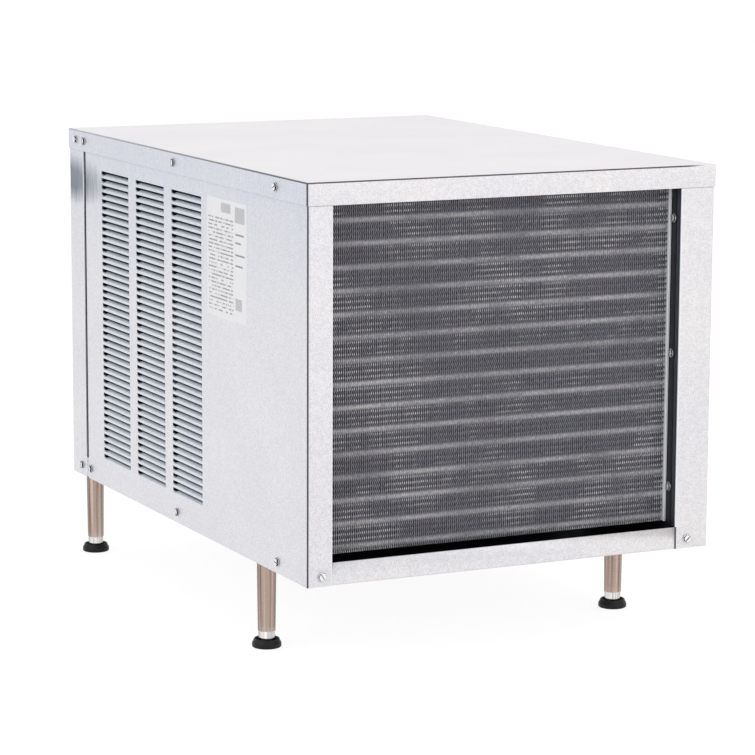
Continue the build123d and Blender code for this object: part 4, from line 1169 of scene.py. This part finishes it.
# %% Finishes by slot
SLOT_OF = {
    "nickel_leg": [f"leg_{corner}" for corner in CORNERS],
    "bright_collar": [f"foot_insert_{corner}" for corner in CORNERS],
    "black_rubber": ["compressor_grommets"],
    "copper_tube": [
        "condenser_tubes", "return_bends", "discharge_line", "condensate_line", "liquid_line", "suction_line",
    ],
    "fan_aluminium": ["fan_blades"],
    "plain_steel": ["fan_hub", "motor_shaft", "compressor_stator", "compressor_rotor"],
    "motor_enamel": ["fan_motor"],
    "black_enamel": ["compressor_lower_shell", "compressor_upper_shell", "compressor_base", "receiver"],
    "iron_casting": ["compressor_crankcase"],
    "dark_plastic": ["terminal_cover", "contactor", "contactor_plunger"],
    "brass_valve": [
        "receiver_valve", "receiver_valve_stem", "liquid_service_valve", "suction_service_valve",
        "liquid_valve_stem", "suction_valve_stem",
    ],
    "drier_enamel": ["filter_drier"],
    "grey_plastic": ["pressure_control"],
    "red_plastic": ["reset_button"],
    "zinc_screw": ["leg_nuts", "compressor_bolts"],
    "galvanised_sheet": [
        "coil_plate_left", "coil_plate_right", "fan_shroud", "motor_bracket",
        "electrical_box", "electrical_cover", "connection_pocket",
    ],
    "foil_label": ["rating_plate"],
}
# Four nodes look unlike the rest of their slot, whose sheet takes a near-black painted shade. The fins'
# collars cover the coil's tubes, so the tubes are seen as fin metal, with its painted light and shade.
# The coil's plates are in deep shadow and take a darker painted shadow, and the pocket shows its outer
# face in plain zinc.
SPECIAL = {
    "connection_pocket": zinc,
    "coil_plate_left": plate_dark,
    "coil_plate_right": plate_dark,
    "condenser_tubes": fin_metal,
}
for slot, names in SLOT_OF.items():
    for name in names:
        mesh = nodes[name].data
        mesh.materials.clear()
        mesh.materials.append(SPECIAL.get(name, finishes[slot]))
dressed = {name for names in SLOT_OF.values() for name in names}
bare = [name for name in nodes if name not in dressed and not nodes[name].hide_render]
print("dressed", len(dressed), "left bare", bare)

# %% [markdown]
# ## The floor and the light
# The object stands on a plain white floor in even studio light. The world is white, and three large
# soft lamps give the faces their slight differences. Camera and glossy rays see the floor mostly
# as a white surface that gives its own light, so the background stays white and the soft shadow
# under the casing stays too.

# %% The floor and the world
def rays_that_look(tree):
    """1 for the rays that see the background: from the camera, off gloss or through glass."""
    path = add(tree, "LightPath").outputs
    looking = maths(tree, "MAXIMUM", path["Is Camera Ray"], path["Is Glossy Ray"])
    return maths(tree, "MAXIMUM", looking, path["Is Transmission Ray"])


def empty_tree(owner):
    """The owner's node tree, cleared."""
    owner.use_nodes = True
    owner.node_tree.nodes.clear()
    return owner.node_tree


floor_material = bpy.data.materials.new("studio_floor")
tree = empty_tree(floor_material)
matt = add(tree, "BsdfDiffuse", {"Color": rgb(0.9, 0.9, 0.9)})
glow = add(tree, "Emission", {"Color": rgb(1, 1, 1), "Strength": 1.18})
share = times(tree, rays_that_look(tree), 0.72)
blend = add(tree, "MixShader", {0: share, 1: matt.outputs[0], 2: glow.outputs[0]})
add(tree, "OutputMaterial", {"Surface": blend.outputs[0]})
HALF_FLOOR = 9
corners = [(x * HALF_FLOOR, y * HALF_FLOOR, 0) for x, y in ((-1, -1), (1, -1), (1, 1), (-1, 1))]
studio_floor = make_object("studio_floor", corners, [[0, 1, 2, 3]], [floor_material])
print("floor", tuple(round(v, 2) for v in studio_floor.dimensions))

scene = bpy.context.scene
scene.world = bpy.data.worlds.new("studio")
tree = empty_tree(scene.world)
strength = spread(tree, rays_that_look(tree), 0.0, 1.0, 0.70, 1.0)
sky = add(tree, "Background", {"Color": rgb(1, 1, 1), "Strength": strength})
add(tree, "OutputWorld", {"Surface": sky.outputs[0]})
print("world", scene.world.name)


# %% The lamps
def lamp(name, place, size, power, colour, target=(0, 0, 0.3)):
    """A large square area lamp that points at the object."""
    light = bpy.data.lights.new(name, "AREA")
    light.size = size
    light.energy = power
    light.color = colour
    holder = bpy.data.objects.new(name, light)
    bpy.context.scene.collection.objects.link(holder)
    holder.location = place
    holder.rotation_euler = (Vector(target) - Vector(place)).to_track_quat("-Z", "Y").to_euler()
    return holder


lamp("front_lamp", (0.9, -3.4, 1.5), 2.2, 21.0, (1.0, 0.98, 0.97))
lamp("left_lamp", (-3.2, -0.8, 1.4), 2.2, 21.0, (0.74, 0.87, 1.0))
lamp("top_lamp", (0.2, 0.2, 3.4), 2.4, 22.0, (1.0, 0.985, 0.98))

# %% [markdown]
# ## The camera
# The view is from the front left, a little above. It is given by its azimuth, elevation, roll and
# distance from the middle of the casing, and a small offset across the view.

# %% The camera
AZIMUTH = math.radians(-25.9004)
ELEVATION = math.radians(9.5682)
ROLL = math.radians(0.2531)
DISTANCE = 3.7276
LENS = 148.7
OFFSET = Vector((5.1751 * MM, -60.2144 * MM))
aim = Vector((0, 0, (under + top) / 2))
toward = Vector(
    (
        math.sin(AZIMUTH) * math.cos(ELEVATION),
        -math.cos(AZIMUTH) * math.cos(ELEVATION),
        math.sin(ELEVATION),
    )
)
level = Vector((math.cos(AZIMUTH), math.sin(AZIMUTH), 0))
upward = toward.cross(level)
across = level * math.cos(ROLL) + upward * math.sin(ROLL)
upright = upward * math.cos(ROLL) - level * math.sin(ROLL)
camera = bpy.data.objects.new("camera", bpy.data.cameras.new("camera"))
scene.collection.objects.link(camera)
camera.data.lens = LENS
camera.data.sensor_width = 36
camera.data.clip_end = 50
place = aim + toward * DISTANCE + across * OFFSET.x + upright * OFFSET.y
camera.matrix_world = Matrix.Translation(place) @ Matrix((across, upright, toward)).transposed().to_4x4()
scene.camera = camera
scene.view_settings.view_transform = "Standard"
print("camera at", tuple(round(v, 3) for v in place))
